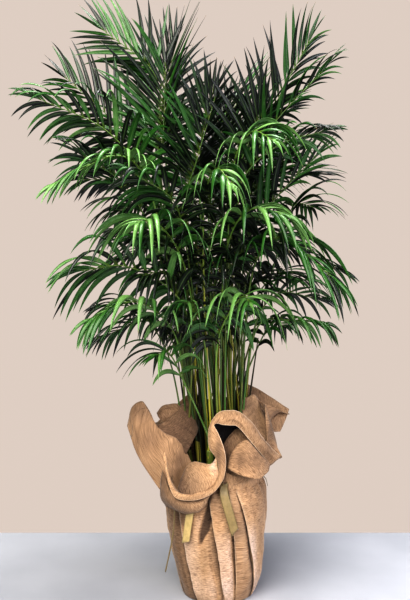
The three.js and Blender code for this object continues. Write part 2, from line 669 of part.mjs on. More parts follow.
// A tail: its width, and radius, angle and height along its way from the band.
const TAILS = [
  { width: 24, route: [[136, 277, 356], [150, 277, 330], [159, 281, 286], [163, 287, 226]] },
  { width: 23, route: [[130, 243, 351], [148, 242, 322], [158, 240, 262], [160, 236, 190]] },
  { width: 5, route: [[130, 226, 351], [158, 224, 318], [166, 221, 204], [184, 217, 96]] },
  { width: 5, route: [[130, 352, 351], [143, 353, 338], [149, 354, 316]] },
];

function tailSolid({ width, route }) {
  const stops = route.map(([radius, degrees, z]) => polar(radius, radians(degrees), z));
  const line = new THREE.CatmullRomCurve3(stops, false, "centripetal");
  const spans = stops.length - 1;
  const template = new THREE.BoxGeometry(width, 1, TIE_BAND_DEPTH, 1, spans, 1);
  const geometry = reshape(template, (corner) => {
    const share = Math.round((corner.y + 0.5) * spans) / spans;
    const middle = line.getPoint(share);
    const along = line.getTangent(share);
    const outward = new THREE.Vector3(middle.x, middle.y, 0).normalize();
    const across = along.clone().cross(outward).normalize();
    const over = across.clone().cross(along);
    middle.addScaledVector(across, corner.x);
    return middle.addScaledVector(over, corner.z);
  });
  return solidOf(geometry);
}

function tieGeometry() {
  const inner = TIE_BAND_RADIUS;
  const outer = inner + TIE_BAND_DEPTH;
  const low = TIE_Z - TIE_BAND_HEIGHT / 2;
  const high = TIE_Z + TIE_BAND_HEIGHT / 2;
  const outline = [[inner, low], [outer, low], [outer, high], [inner, high], [inner, low]];
  let tie = solidOf(latheAboutZ(outline, TIE_SIDES));
  const knot = new THREE.SphereGeometry(1, 7, 4).scale(...KNOT_SIZE);
  knot.rotateZ(KNOT_ANGLE + Math.PI / 2);
  knot.translate(...polar(outer + KNOT_STAND_OFF, KNOT_ANGLE, TIE_Z).toArray());
  tie = tie.add(solidOf(knot));
  for (const tail of TAILS) {
    tie = tie.add(tailSolid(tail));
  }
  return geometryOf(tie);
}

// ---------------------------------------------------------------- assembly

const plant = new THREE.Group();

function addPiece(name, geometry, finish) {
  const piece = new THREE.Mesh(geometry, new THREE.MeshStandardMaterial(FINISHES[finish]));
  piece.name = name;
  plant.add(piece);
}

// Every solid that stands in the leaflets' way, with the box it fills.
const standing = [];
function stand(solid, owner) {
  standing.push({ solid, box: solid.boundingBox(), owner });
}

const wrap = wrapGeometry();
const tie = tieGeometry();
addPiece("wrap", wrap, "paper");
addPiece("tie", tie, "tie");
addPiece("pot", potGeometry(), "pot");
addPiece("soil", soilGeometry(), "soil");
stand(solidOf(wrap), "wrap");
stand(solidOf(tie), "tie");

const ribs = FRONDS.map((frond) => ribSolid(frond));
CANES.forEach((cane, index) => {
  let solid = caneSolid(cane);
  FRONDS.forEach((frond) => {
    if (frond.cane === index) {
      solid = solid.subtract(ribSolid(frond, SOCKET_ROOM));
    }
  });
  stand(solid, `cane_${index + 1}`);
  addPiece(`cane_${index + 1}`, geometryOf(solid), "cane");
});
FRONDS.forEach((frond, index) => stand(ribs[index], frond.name));

const random = makeRandom(LEAFLET_SEED);
FRONDS.forEach((frond, index) => {
  let solid = ribs[index];
  for (const planned of leafletPlan(frond, random)) {
    for (const bend of BENDS) {
      const leaflet = aimLeaflet(planned, bend);
      const roomy = leafletSolid(leaflet, ELBOW_ROOM);
      const box = roomy.boundingBox();
      const own = (other) => other.owner === frond.name && other.solid === ribs[index];
      const blocked = standing.some((other) => !own(other) && meets(roomy, box, other));
      roomy.delete();
      if (!blocked) {
        const blade = leafletSolid(leaflet, 0);
        stand(blade, frond.name);
        solid = solid.add(blade);
        break;
      }
    }
  }
  addPiece(`frond_${frond.name}`, geometryOf(solid), "foliage");
});

export default plant;
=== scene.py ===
"""A potted areca palm in a plain nursery pot, dressed in crinkled brown paper tied with a ribbon.

Metres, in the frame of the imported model: +Z up, -Y towards the viewer, and the origin in the
middle of the flat patch that the wrapped pot stands on.
"""

import math

import bpy
import numpy as np
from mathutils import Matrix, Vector, noise


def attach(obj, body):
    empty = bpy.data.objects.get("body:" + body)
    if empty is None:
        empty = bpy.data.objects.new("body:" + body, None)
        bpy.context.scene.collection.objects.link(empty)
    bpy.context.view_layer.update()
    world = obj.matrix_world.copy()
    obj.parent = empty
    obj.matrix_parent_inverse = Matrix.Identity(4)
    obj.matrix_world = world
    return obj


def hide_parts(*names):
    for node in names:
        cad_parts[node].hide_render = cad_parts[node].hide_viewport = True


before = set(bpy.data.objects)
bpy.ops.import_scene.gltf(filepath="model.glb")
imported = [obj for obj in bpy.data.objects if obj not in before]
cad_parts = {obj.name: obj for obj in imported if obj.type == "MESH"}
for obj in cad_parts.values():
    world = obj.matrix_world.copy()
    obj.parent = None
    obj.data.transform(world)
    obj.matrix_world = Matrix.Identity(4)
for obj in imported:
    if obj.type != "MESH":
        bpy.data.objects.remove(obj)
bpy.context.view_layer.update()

MM = 0.001
UP = np.array([0.0, 0.0, 1.0])
SCENE = bpy.context.scene

# ------------------------------------------------------------------ the plan, in millimetres

POT_FLOOR_Z = 2.0
POT_HEIGHT = 288.0
POT_BASE_RADIUS = 94.0
POT_TOP_RADIUS = 130.0
POT_RIM_RADIUS = 135.0
POT_RIM_DEPTH = 14.0
POT_WALL = 2.2
SOIL_BELOW_RIM = 26.0
SOIL_EDGE_Z = POT_FLOOR_Z + POT_HEIGHT - SOIL_BELOW_RIM
SOIL_CROWN = 5.0

CANE_ROOT_DEPTH = 42.0
CANE_STRAIGHT = 11.0
CANE_FOOT_RADIUS = 6.4
CANE_TOP_RADIUS = 10.4
SOCKET_DEPTH = 20.0
SOCKET_SPREAD = 4.8

# Each cane: where it stands in the soil, and where its top is.
CANES = [
    ((-48, 12), (-62, 17, 470)),
    ((-42, -28), (-56, -32, 450)),
    ((-20, 34), (-30, 42, 490)),
    ((4, 4), (2, 6, 500)),
    ((30, 28), (38, 36, 480)),
    ((36, -14), (46, -18, 460)),
    ((14, -42), (16, -56, 450)),
    ((-16, -48), (-20, -66, 430)),
    ((58, 12), (74, 18, 450)),
    ((46, -46), (62, -56, 420)),
    ((-64, -8), (-84, -14, 420)),
    ((-2, -66), (2, -82, 400)),
    ((-46, 52), (-62, 66, 430)),
    ((18, 66), (24, 82, 440)),
]

# Each frond: its cane, the start, middle and tip of its leafy part, and then its longest leaflet,
# how much the leaflets droop, how far they are raised over the rib, how far the frond's upper
# face is turned to the front, and how bright a green it is. That brightness is partly the leaves'
# own green and partly painted light: fronds in front are painted brighter, as if better lit, and
# those inside darker, as painted shade. The paths in front were read off the photo, and those at
# the back were chosen. A program then changed the paths, longest leaflets, droops and turns, by a
# random search that compared the crown's outline with the photo's. The same holds for the fillers
# below. The droop and turn of upper_left were set afterwards.
FRONDS = {
    "top_left": (0, ((-171, 40, 1287), (-179, 60, 1511), (-335, 60, 1648)), (209, 0.3, 20, 77, 0.3)),
    "left_mid_back": (0, ((-114, 20, 1060), (-268, 40, 1202), (-400, 60, 1212)), (167, 1.1, 22, 32, 0.1)),
    "upper_left": (1, ((-183, -40, 1158), (-303, -80, 1330), (-485, -110, 1414)), (190, 1.2, 20, 40, 0.35)),
    "upper_left_low": (
        1, ((-207, -90, 1215), (-272, -150, 1257), (-421, -190, 1184)), (166, 1.9, 20, 12, 0.85)
    ),
    "top_centre_left": (2, ((-152, 30, 1284), (-162, 50, 1412), (-124, 80, 1601)), (262, 0.2, 26, 13, 0.3)),
    "back_left_centre": (2, ((-48, 140, 1032), (-57, 250, 1160), (-104, 380, 1059)), (211, 1.2, 24, -4, 0.2)),
    "centre_upright": (3, ((-51, -20, 1189), (-43, -40, 1324), (-12, -60, 1449)), (184, 0.4, 24, 18, 0.3)),
    "back_high": (3, ((18, 96, 1163), (51, 180, 1379), (68, 300, 1496)), (250, 0.5, 24, 26, 0.25)),
    "top_right": (4, ((78, 30, 1239), (179, 50, 1445), (268, 60, 1612)), (208, 0.5, 20, 49, 0.33)),
    "back_right_high": (4, ((45, 140, 1059), (102, 262, 1218), (171, 390, 1180)), (220, 1.1, 24, -10, 0.2)),
    "right_up": (5, ((78, -20, 1166), (138, -40, 1329), (288, -60, 1497)), (209, 0.7, 22, 11, 0.32)),
    "right_arch": (5, ((62, -60, 1181), (161, -100, 1288), (281, -130, 1324)), (152, 1.2, 20, 19, 0.3)),
    "front_high": (6, ((48, -120, 1255), (90, -210, 1312), (134, -280, 1282)), (162, 2.4, 18, -23, 0.8)),
    "front_right": (6, ((29, -120, 1024), (87, -200, 1111), (165, -250, 1094)), (172, 3.0, 16, -4, 0.7)),
    "front_small": (7, ((-36, -130, 1142), (-4, -220, 1216), (34, -285, 1167)), (127, 3.1, 18, -2, 0.85)),
    "front_left": (7, ((-97, -120, 976), (-167, -220, 1078), (-204, -290, 1071)), (192, 2.2, 20, 6, 0.8)),
    "right_back": (8, ((73, 60, 1142), (161, 110, 1224), (287, 150, 1233)), (197, 0.5, 24, 5, 0.12)),
    "right_mid": (8, ((77, 20, 997), (156, 30, 1135), (287, 30, 1274)), (194, 0.6, 22, 29, 0.28)),
    "right_hanging": (9, ((106, -60, 965), (167, -140, 1038), (292, -205, 939)), (239, 2.3, 16, 3, 0.5)),
    "right_low": (9, ((124, -30, 794), (212, -60, 805), (286, -90, 801)), (148, 2.4, 18, 16, 0.3)),
    "left_mid": (10, ((-96, -130, 855), (-248, -135, 959), (-362, -170, 949)), (222, 1.8, 18, 42, 0.42)),
    "left_low": (10, ((-122, -90, 774), (-221, -160, 864), (-328, -215, 826)), (171, 2.3, 16, 10, 0.75)),
    "front_low": (11, ((3, -110, 761), (65, -190, 880), (81, -255, 868)), (187, 2.9, 16, 4, 0.9)),
    "front_left_low": (11, ((-95, -90, 636), (-137, -145, 725), (-164, -190, 722)), (159, 1.5, 18, 3, 0.5)),
    "left_back_low": (12, ((-128, 40, 727), (-205, 80, 790), (-336, 110, 746)), (187, 2.0, 20, 10, 0.12)),
    "back_left": (12, ((-99, 156, 822), (-162, 252, 1011), (-322, 340, 973)), (216, 1.4, 20, -2, 0.3)),
    "back_right": (13, ((109, 150, 833), (207, 240, 934), (268, 326, 909)), (203, 1.8, 20, -3, 0.3)),
    "back_low": (13, ((88, 176, 753), (45, 268, 875), (69, 370, 788)), (194, 1.7, 20, 6, 0.4)),
}

# Thinner fronds between the others: the cane, the path and the same five numbers.
# Their low green tones inside the crown are mostly painted shade.
FILLERS = [
    (0, ((-172, 60, 1251), (-299, 100, 1381), (-457, 140, 1525)), (220, 0.4, 20, 73, 0.05)),
    (1, ((-165, 0, 1199), (-153, 0, 1371), (-147, -10, 1528)), (269, 0.5, 24, 25, 0.15)),
    (2, ((-85, -40, 1158), (-59, -70, 1252), (-8, -90, 1419)), (212, 0.5, 22, 4, 0.3)),
    (3, ((-23, 40, 1142), (4, 60, 1325), (35, 80, 1436)), (187, 0.5, 24, -11, 0.2)),
    (5, ((36, -40, 1150), (106, -60, 1341), (131, -70, 1382)), (216, 0.5, 22, 35, 0.3)),
    (4, ((64, 40, 1086), (149, 60, 1221), (213, 70, 1277)), (196, 1.1, 22, 37, 0.1)),
    (1, ((-176, -20, 1021), (-263, -50, 1188), (-368, -80, 1261)), (217, 1.0, 22, 28, 0.2)),
    (0, ((-129, 20, 947), (-211, 30, 1052), (-280, 30, 1061)), (173, 2.3, 20, 0, 0.1)),
    (7, ((-90, -100, 1031), (-123, -170, 1140), (-214, -220, 1198)), (186, 1.8, 18, 22, 0.3)),
    (6, ((-24, -60, 981), (-15, -120, 1114), (-30, -170, 1161)), (167, 2.2, 18, -8, 0.15)),
    (8, ((49, 20, 1007), (116, 40, 1040), (348, 50, 952)), (186, 1.5, 20, 20, 0.15)),
    (7, ((-91, -60, 857), (-149, -110, 941), (-202, -150, 936)), (151, 2.7, 18, -26, 0.2)),
    (6, ((-11, -40, 858), (0, -90, 955), (22, -130, 969)), (159, 2.6, 18, 0, 0.2)),
    (8, ((123, 30, 813), (191, 50, 877), (282, 60, 863)), (181, 1.5, 20, 30, 0.15)),
    (11, ((-42, -100, 776), (-68, -160, 859), (-91, -205, 862)), (132, 2.8, 18, 2, 0.5)),
    (10, ((-151, 0, 720), (-245, 20, 836), (-318, 30, 838)), (170, 1.7, 20, 16, 0.1)),
    (2, ((-51, 110, 920), (-96, 220, 1058), (-151, 330, 1026)), (194, 1.5, 20, 4, 0.3)),
    (4, ((83, 110, 966), (99, 210, 1024), (134, 300, 1012)), (196, 1.6, 20, -10, 0.3)),
    (12, ((-59, 90, 1019), (-238, 170, 1143), (-306, 230, 1128)), (193, 1.6, 20, 14, 0.3)),
    (13, ((178, 90, 978), (243, 160, 1144), (304, 220, 1141)), (191, 1.2, 20, 18, 0.3)),
    (12, ((16, 120, 692), (-87, 220, 790), (-123, 310, 707)), (170, 1.8, 20, -10, 0.35)),
    (13, ((124, 110, 703), (177, 170, 779), (220, 220, 762)), (148, 1.8, 20, 21, 0.35)),
    (13, ((20, 60, 1119), (50, 130, 1272), (85, 220, 1386)), (210, 0.8, 22, -5, 0.2)),
    (12, ((-81, 60, 1194), (-168, 130, 1314), (-219, 200, 1352)), (214, 0.8, 22, 35, 0.2)),
    (4, ((90, 70, 1119), (159, 150, 1250), (223, 220, 1326)), (202, 0.7, 22, 3, 0.2)),
    (3, ((-40, -60, 886), (-56, -110, 1006), (-95, -150, 1048)), (180, 1.8, 18, 1, 0.05)),
    (5, ((14, -60, 869), (51, -110, 984), (99, -150, 1014)), (175, 2.2, 18, 0, 0.05)),
    (3, ((-16, -40, 951), (-10, -90, 1046), (26, -130, 1108)), (180, 2.4, 18, 5, 0.05)),
    (1, ((-89, -40, 907), (-126, -90, 1005), (-203, -120, 1035)), (182, 2.0, 18, 0, 0.05)),
    (8, ((80, -20, 896), (119, -50, 992), (181, -80, 1016)), (188, 2.1, 18, 1, 0.05)),
    (6, ((-7, -80, 728), (-20, -120, 801), (25, -150, 871)), (139, 2.9, 18, -1, 0.1)),
    (7, ((-47, -80, 727), (-64, -120, 803), (-106, -150, 832)), (140, 2.6, 18, -2, 0.1)),
    (2, ((-81, 40, 752), (-89, 60, 888), (-120, 80, 947)), (184, 1.5, 20, 2, 0.05)),
    (4, ((33, 40, 740), (76, 60, 870), (123, 80, 916)), (184, 1.6, 20, 0, 0.05)),
    (3, ((-25, 20, 723), (-16, 40, 835), (-2, 60, 901)), (163, 1.6, 20, -1, 0.05)),
]

ALL_FRONDS = {**FRONDS, **{f"filler_{i + 1}": filler for i, filler in enumerate(FILLERS)}}

# ------------------------------------------------------------------ small helpers


def unit(vectors):
    """The vectors, each with a length of 1."""
    vectors = np.asarray(vectors, float)
    return vectors / np.maximum(np.linalg.norm(vectors, axis=-1, keepdims=True), 1e-12)


def lerp(start, end, share):
    """The value at a share of the way from start to end."""
    return start + (end - start) * share


def smoothstep(low, high, value):
    """0 at low and 1 at high, with a soft start and end; low may be the greater one."""
    share = np.clip((value - low) / (high - low), 0, 1)
    share = np.clip((value - low) / (high - low), 0, 1)
    return share * share * (3 - 2 * share)


def spline(points, shares):
    """A centripetal Catmull-Rom line through the points, at shares from 0 to 1."""
    points = np.asarray(points, float)
    count = len(points)
    place = np.clip(np.atleast_1d(np.asarray(shares, float)), 0, 1) * (count - 1)
    first = np.minimum(place.astype(int), count - 2)
    weight = (place - first)[:, None]
    before = 2 * points[0] - points[1]
    after = 2 * points[-1] - points[-2]
    line = np.vstack([before, points, after])
    p0, p1, p2, p3 = (line[first + k] for k in range(4))
    step0, step1, step2 = (
        np.sqrt(np.linalg.norm(b - a, axis=1))[:, None] for a, b in ((p0, p1), (p1, p2), (p2, p3))
    )
    slope1 = ((p1 - p0) / step0 - (p2 - p0) / (step0 + step1) + (p2 - p1) / step1) * step1
    slope2 = ((p2 - p1) / step1 - (p3 - p1) / (step1 + step2) + (p3 - p2) / step2) * step1
    square, cube = weight**2, weight**3
    return (
        p1
        + slope1 * weight
        + (-3 * p1 + 3 * p2 - 2 * slope1 - slope2) * square
        + (2 * p1 - 2 * p2 + slope1 + slope2) * cube
    )


def tangents(points, shares):
    """The directions of the same line at the shares."""
    nudge = 1e-4
    low = np.clip(np.asarray(shares, float) - nudge, 0, 1)
    high = np.clip(np.asarray(shares, float) + nudge, 0, 1)
    return unit(spline(points, high) - spline(points, low))


def circle_angles(count):
    """The angles of a ring of points, in radians."""
    return np.linspace(0, 2 * np.pi, count, endpoint=False)


def around_z(radius, angles, z):
    """Points at radii and angles round the Z axis, and at heights."""
    return np.stack(np.broadcast_arrays(radius * np.cos(angles), radius * np.sin(angles), z), -1)


def grid_faces(rows, columns, closed, start=0):
    """Faces of a grid of rows x columns vertices, whose rows may close on themselves."""
    faces = []
    spans = columns if closed else columns - 1
    for row in range(rows - 1):
        for column in range(spans):
            after = (column + 1) % columns
            here = start + row * columns
            faces.append((here + column, here + after, here + columns + after, here + columns + column))
    return faces


def tube_faces(rows, columns):
    """Faces of a tube of rings of vertices, with a polygon over each end."""
    first = tuple(range(columns))
    last = tuple((rows - 1) * columns + k for k in range(columns))
    return [*grid_faces(rows, columns, True), first[::-1], last]


def loop_faces(rows, columns):
    """Faces of a grid of rows x columns vertices that closes on itself both ways."""
    last = (rows - 1) * columns
    afters = [(column + 1) % columns for column in range(columns)]
    seam = [(last + column, last + after, after, column) for column, after in enumerate(afters)]
    return grid_faces(rows, columns, True) + seam


def join(parts):
    """Several parts as one. Each has vertices, faces and attributes, of values or one value."""
    points, faces, stories = [], [], {}
    start = 0
    for vertices, polygons, attributes in parts:
        points.append(vertices)
        faces += [tuple(start + k for k in polygon) for polygon in polygons]
        start += len(vertices)
        for key, values in attributes.items():
            values = values if np.ndim(values) else np.full(len(vertices), float(values))
            stories.setdefault(key, []).append(values)
    return np.vstack(points), faces, {key: np.concatenate(each) for key, each in stories.items()}


def make_piece(name, vertices, faces, materials, slot, replaces=(), face_looks=None, **attributes):
    """A mesh piece in metres from vertices in millimetres, with point attributes."""
    mesh = bpy.data.meshes.new(name)
    mesh.from_pydata((np.asarray(vertices, float) * MM).tolist(), [], faces)
    mesh.update()
    for material in materials:
        mesh.materials.append(material)
    if face_looks is not None:
        mesh.polygons.foreach_set("material_index", np.asarray(face_looks, np.int32))
    mesh.polygons.foreach_set("use_smooth", [True] * len(mesh.polygons))
    for key, values in attributes.items():
        values = np.asarray(values, float)
        if values.ndim == 1:
            layer = mesh.attributes.new(key, "FLOAT", "POINT")
            layer.data.foreach_set("value", values)
        else:
            layer = mesh.attributes.new(key, "FLOAT_VECTOR", "POINT")
            layer.data.foreach_set("vector", values.ravel())
    piece = bpy.data.objects.new(name, mesh)
    SCENE.collection.objects.link(piece)
    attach(piece, "root")
    if replaces:
        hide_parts(*replaces)
    return piece


# ------------------------------------------------------------------ materials


class Look:
    """A Principled material and short ways to add and join its nodes."""

    def __init__(self, name, **constants):
        self.material = bpy.data.materials.new(name)
        self.material.use_nodes = True
        self.tree = self.material.node_tree
        self.shader = self.tree.nodes["Principled BSDF"]
        for socket, value in constants.items():
            self.shader.inputs[socket.replace("_", " ")].default_value = value

    def put(self, socket, source):
        """Join the source to the socket, or set it there as a constant."""
        if isinstance(source, bpy.types.NodeSocket):
            self.tree.links.new(source, socket)
        else:
            socket.default_value = source

    def node(self, kind, inputs=(), **settings):
        """Add a node with its settings and inputs."""
        node = self.tree.nodes.new(kind)
        for key, value in settings.items():
            setattr(node, key, value)
        for key, source in dict(inputs).items():
            self.put(node.inputs[key], source)
        return node

    def attribute(self, name, output="Fac"):
        return self.node("ShaderNodeAttribute", attribute_name=name).outputs[output]

    def math(self, operation, *values):
        node = self.node("ShaderNodeMath", operation=operation)
        for socket, source in zip(node.inputs, values):
            self.put(socket, source)
        return node.outputs[0]

    def ramp(self, source, low, high, start=0.0, end=1.0, smooth=True):
        """The source, taken from low..high to start..end."""
        node = self.node("ShaderNodeMapRange", {"Value": source, "From Min": low, "From Max": high})
        node.interpolation_type = "SMOOTHSTEP" if smooth else "LINEAR"
        node.inputs["To Min"].default_value = start
        node.inputs["To Max"].default_value = end
        return node.outputs[0]

    def mix(self, share, first, second, blend="MIX"):
        """Mix or blend two colours."""
        node = self.node("ShaderNodeMix", data_type="RGBA", blend_type=blend)
        self.put(node.inputs["Factor"], share)
        for key, source in (("A", first), ("B", second)):
            socket = next(s for s in node.inputs if s.name == key and s.type == "RGBA")
            if not isinstance(source, bpy.types.NodeSocket):
                source = (*source, 1.0)
            self.put(socket, source)
        return next(s for s in node.outputs if s.type == "RGBA")

    def tint(self, share, colour, factor):
        """The colour, multiplied by the factor as far as the share says."""
        return self.mix(share, colour, self.mix(1.0, colour, factor, "MULTIPLY"))

    def noise(self, vector, scale, detail=3.0, roughness=0.5, distortion=0.0):
        """Noise from 0 to 1."""
        node = self.node(
            "ShaderNodeTexNoise",
            {"Vector": vector, "Scale": scale, "Detail": detail, "Roughness": roughness,
             "Distortion": distortion},
        )
        return node.outputs["Fac"]

    def stretch(self, vector, scale):
        return self.node("ShaderNodeMapping", {"Vector": vector, "Scale": scale}).outputs[0]

    def place(self):
        return self.node("ShaderNodeTexCoord").outputs["Object"]

    def bump(self, height, strength, distance, onto=None):
        node = self.node(
            "ShaderNodeBump", {"Height": height, "Strength": strength, "Distance": distance}
        )
        if onto is not None:
            self.put(node.inputs["Normal"], onto)
        return node.outputs[0]

    def finish(self, colour, roughness, normal=None):
        """Join what is left to the shader."""
        self.put(self.shader.inputs["Base Color"], colour)
        self.put(self.shader.inputs["Roughness"], roughness)
        if normal is not None:
            self.put(self.shader.inputs["Normal"], normal)
        return self.material


def leaf_look():
    """Glossy leaflets, with painted shade that darkens them inside the crown, paler at the vein and the root,
    dry at the tip.
    """
    look = Look("leaflets", Specular_IOR_Level=0.40, Coat_Weight=0.10, Coat_Roughness=0.16)
    along, across = look.attribute("along"), look.attribute("across")
    pick, tone = look.attribute("pick"), look.attribute("tone")
    mottle = look.noise(look.place(), 42.0, 3.0, 0.6)
    shade = look.math("ADD", tone, look.math("MULTIPLY", look.math("SUBTRACT", mottle, 0.5), 0.5))
    # Painted shade: the leaflets darken towards the middle of the crown. The tone, which is partly painted
    # light, takes the green from near black to bright.
    shade = look.math("SUBTRACT", shade, look.math("MULTIPLY", look.attribute("inner"), 0.35))
    green = look.mix(look.ramp(shade, 0.12, 0.52), (0.0006, 0.0035, 0.0008), (0.018, 0.088, 0.009))
    green = look.mix(look.ramp(shade, 0.5, 0.98), green, (0.135, 0.265, 0.075))
    middle = look.math("ABSOLUTE", across)
    vein = look.math("MULTIPLY", look.ramp(middle, 0.16, 0.02), look.ramp(along, 1.0, 0.2, 0.0, 0.5))
    green = look.mix(look.math("MULTIPLY", vein, 0.7), green, (0.16, 0.30, 0.07))
    root = look.ramp(along, 0.12, 0.0, 0.0, 0.55)
    green = look.mix(root, green, (0.17, 0.26, 0.035))
    dry_from = look.math("SUBTRACT", 1.02, look.math("MULTIPLY", pick, 0.09))
    dry = look.ramp(look.math("SUBTRACT", along, dry_from), 0.0, 0.05, 0.0, 0.85)
    green = look.mix(dry, green, (0.17, 0.10, 0.03))
    ribs = look.math("SINE", look.math("MULTIPLY", across, 34.0))
    fine = look.noise(look.place(), 400.0, 2.0, 0.5)
    height = look.math("ADD", look.math("MULTIPLY", ribs, 0.5), fine)
    normal = look.bump(height, 0.22, 0.0004)
    gloss = look.math("ADD", 0.20, look.math("MULTIPLY", mottle, 0.25))
    return look.finish(green, gloss, normal)


def stalk_look():
    """Streaked stalks from dark green to yellow, which turn leaf green towards the rib."""
    look = Look("stalks", Specular_IOR_Level=0.5, Coat_Weight=0.15, Coat_Roughness=0.3)
    along, tone, pick = look.attribute("along"), look.attribute("tone"), look.attribute("pick")
    place = look.place()
    streaks = look.noise(look.stretch(place, (260.0, 260.0, 14.0)), 1.0, 3.0, 0.55)
    patches = look.noise(look.stretch(place, (24.0, 24.0, 7.0)), 1.0, 2.0, 0.5)
    olive = look.mix(look.ramp(pick, 0.25, 0.75), (0.032, 0.070, 0.011), (0.40, 0.36, 0.04))
    olive = look.mix(look.ramp(pick, 0.8, 0.9), olive, (0.045, 0.13, 0.018))
    # The frond's tone, partly painted light, makes the leafy part darker or brighter.
    leafy = look.mix(tone, (0.035, 0.085, 0.012), (0.12, 0.24, 0.03))
    colour = look.mix(look.ramp(along, 0.32, 0.48), olive, leafy)
    colour = look.mix(look.ramp(streaks, 0.45, 0.75, 0.0, 0.5), colour, (0.24, 0.19, 0.045))
    colour = look.mix(look.ramp(patches, 0.5, 0.8, 0.0, 0.5), colour, (0.03, 0.075, 0.012))
    normal = look.bump(streaks, 0.3, 0.0005)
    return look.finish(colour, look.ramp(streaks, 0.3, 0.7, 0.3, 0.46), normal)


def old_and_shade_look():
    """Dark dry stalks, near black, which also stand in for the shade between the canes as painted shade."""
    look = Look("old_stalks_and_shade", Specular_IOR_Level=0.3)
    pick = look.attribute("pick")
    streaks = look.noise(look.stretch(look.place(), (260.0, 260.0, 12.0)), 1.0, 3.0, 0.55)
    dark = look.mix(look.ramp(pick, 0.3, 0.8), (0.006, 0.010, 0.003), (0.028, 0.020, 0.007))
    dark = look.mix(look.ramp(streaks, 0.5, 0.8, 0.0, 0.5), dark, (0.05, 0.042, 0.012))
    return look.finish(dark, 0.6, look.bump(streaks, 0.4, 0.0006))


def cane_look():
    """Green to yellow canes, brown at the foot, with fibres and dark scars."""
    look = Look("canes", Specular_IOR_Level=0.45)
    along, pick = look.attribute("along"), look.attribute("pick")
    place = look.place()
    streaks = look.noise(look.stretch(place, (220.0, 220.0, 10.0)), 1.0, 4.0, 0.6)
    scars = look.noise(look.stretch(place, (60.0, 60.0, 160.0)), 1.0, 2.0, 0.5)
    green = look.mix(look.ramp(pick, 0.2, 0.9), (0.10, 0.15, 0.02), (0.27, 0.25, 0.03))
    colour = look.mix(look.ramp(along, 0.55, 0.1), green, (0.20, 0.115, 0.035))
    colour = look.mix(look.ramp(streaks, 0.48, 0.72, 0.0, 0.7), colour, (0.24, 0.16, 0.06))
    colour = look.mix(look.ramp(scars, 0.6, 0.72, 0.0, 0.5), colour, (0.07, 0.045, 0.02))
    normal = look.bump(streaks, 0.5, 0.0008, look.bump(scars, 0.3, 0.0006))
    return look.finish(colour, look.ramp(streaks, 0.3, 0.7, 0.42, 0.7), normal)


def paper_look():
    """Crinkled brown paper with creases along and across its grain, with painted shade and painted highlights
    in its crinkles, a painted highlight line along hems and folded edges, and a tone that is partly painted
    light and shade.
    """
    look = Look("paper", Specular_IOR_Level=0.2, Sheen_Weight=0.12, Sheen_Roughness=0.5)
    grain = look.attribute("grain", "Vector")
    hem, tone = look.attribute("hem"), look.attribute("tone")
    warp = look.noise(look.place(), 8.0, 2.0, 0.5)
    crepe = look.noise(look.stretch(grain, (85.0, 520.0, 1.0)), 1.0, 4.0, 0.62, 0.3)
    coarse = look.noise(look.stretch(grain, (30.0, 90.0, 1.0)), 1.0, 3.0, 0.55, 0.6)
    crease = look.noise(look.stretch(grain, (58.0, 6.0, 1.0)), 1.0, 3.0, 0.5, 0.5)
    fibre = look.noise(look.place(), 1100.0, 2.0, 0.5)
    # The tone is partly the paper's own colour and partly painted light and shade: near black at 0 is painted
    # shadow, and the pale pinkish colour at 1 is painted light on lit sides.
    tan = look.mix(look.ramp(tone, 0.0, 0.15, smooth=False), (0.010, 0.007, 0.006), (0.120, 0.072, 0.043))
    tan = look.mix(look.ramp(tone, 0.15, 0.5, smooth=False), tan, (0.425, 0.272, 0.152))
    tan = look.mix(look.ramp(tone, 0.5, 1.0, smooth=False), tan, (0.66, 0.52, 0.43))
    tan = look.tint(look.ramp(warp, 0.3, 0.7, 0.0, 0.22), tan, (1.1, 0.95, 0.8))
    # Painted shade in the crinkles and creases, and painted highlights on their ridges.
    dark = look.ramp(crepe, 0.5, 0.32, 0.0, 0.85)
    dark = look.math("ADD", dark, look.ramp(coarse, 0.48, 0.28, 0.0, 0.25))
    dark = look.math("ADD", dark, look.ramp(crease, 0.46, 0.30, 0.0, 0.35))
    light = look.ramp(crepe, 0.5, 0.68, 0.0, 0.8)
    light = look.math("ADD", light, look.ramp(crease, 0.56, 0.72, 0.0, 0.15))
    tan = look.tint(look.math("MINIMUM", dark, 0.95), tan, (0.36, 0.31, 0.28))
    tan = look.tint(look.math("MINIMUM", light, 0.8), tan, (1.6, 1.68, 1.8))
    # A painted highlight line along the hems and folded edges.
    tan = look.mix(look.math("MULTIPLY", hem, 0.8), tan, (0.80, 0.62, 0.45))
    normal = look.bump(crease, 0.55, 0.0045)
    normal = look.bump(coarse, 0.35, 0.0025, normal)
    normal = look.bump(crepe, 0.5, 0.0011, normal)
    normal = look.bump(fibre, 0.12, 0.0003, normal)
    return look.finish(tan, look.ramp(crepe, 0.3, 0.7, 0.85, 0.66), normal)


def ribbon_look():
    """An olive-gold woven ribbon, darker at its edges."""
    look = Look("ribbon", Specular_IOR_Level=0.5, Sheen_Weight=0.2, Sheen_Roughness=0.35)
    across = look.attribute("across")
    place = look.place()
    threads = look.math("SINE", look.math("MULTIPLY", across, 60.0))
    cloud = look.noise(place, 60.0, 3.0, 0.6)
    gold = look.mix(look.attribute("pick"), (0.125, 0.085, 0.030), (0.50, 0.375, 0.165))
    gold = look.tint(look.ramp(cloud, 0.3, 0.7, 0.0, 0.6), gold, (0.6, 0.6, 0.5))
    gold = look.tint(look.ramp(threads, 0.2, 1.0, 0.0, 0.35), gold, (1.4, 1.4, 1.4))
    rim = look.ramp(look.math("ABSOLUTE", across), 0.8, 0.97, 0.0, 0.6)
    gold = look.tint(rim, gold, (0.5, 0.5, 0.4))
    normal = look.bump(threads, 0.3, 0.0003)
    return look.finish(gold, look.ramp(cloud, 0.3, 0.7, 0.3, 0.45), normal)


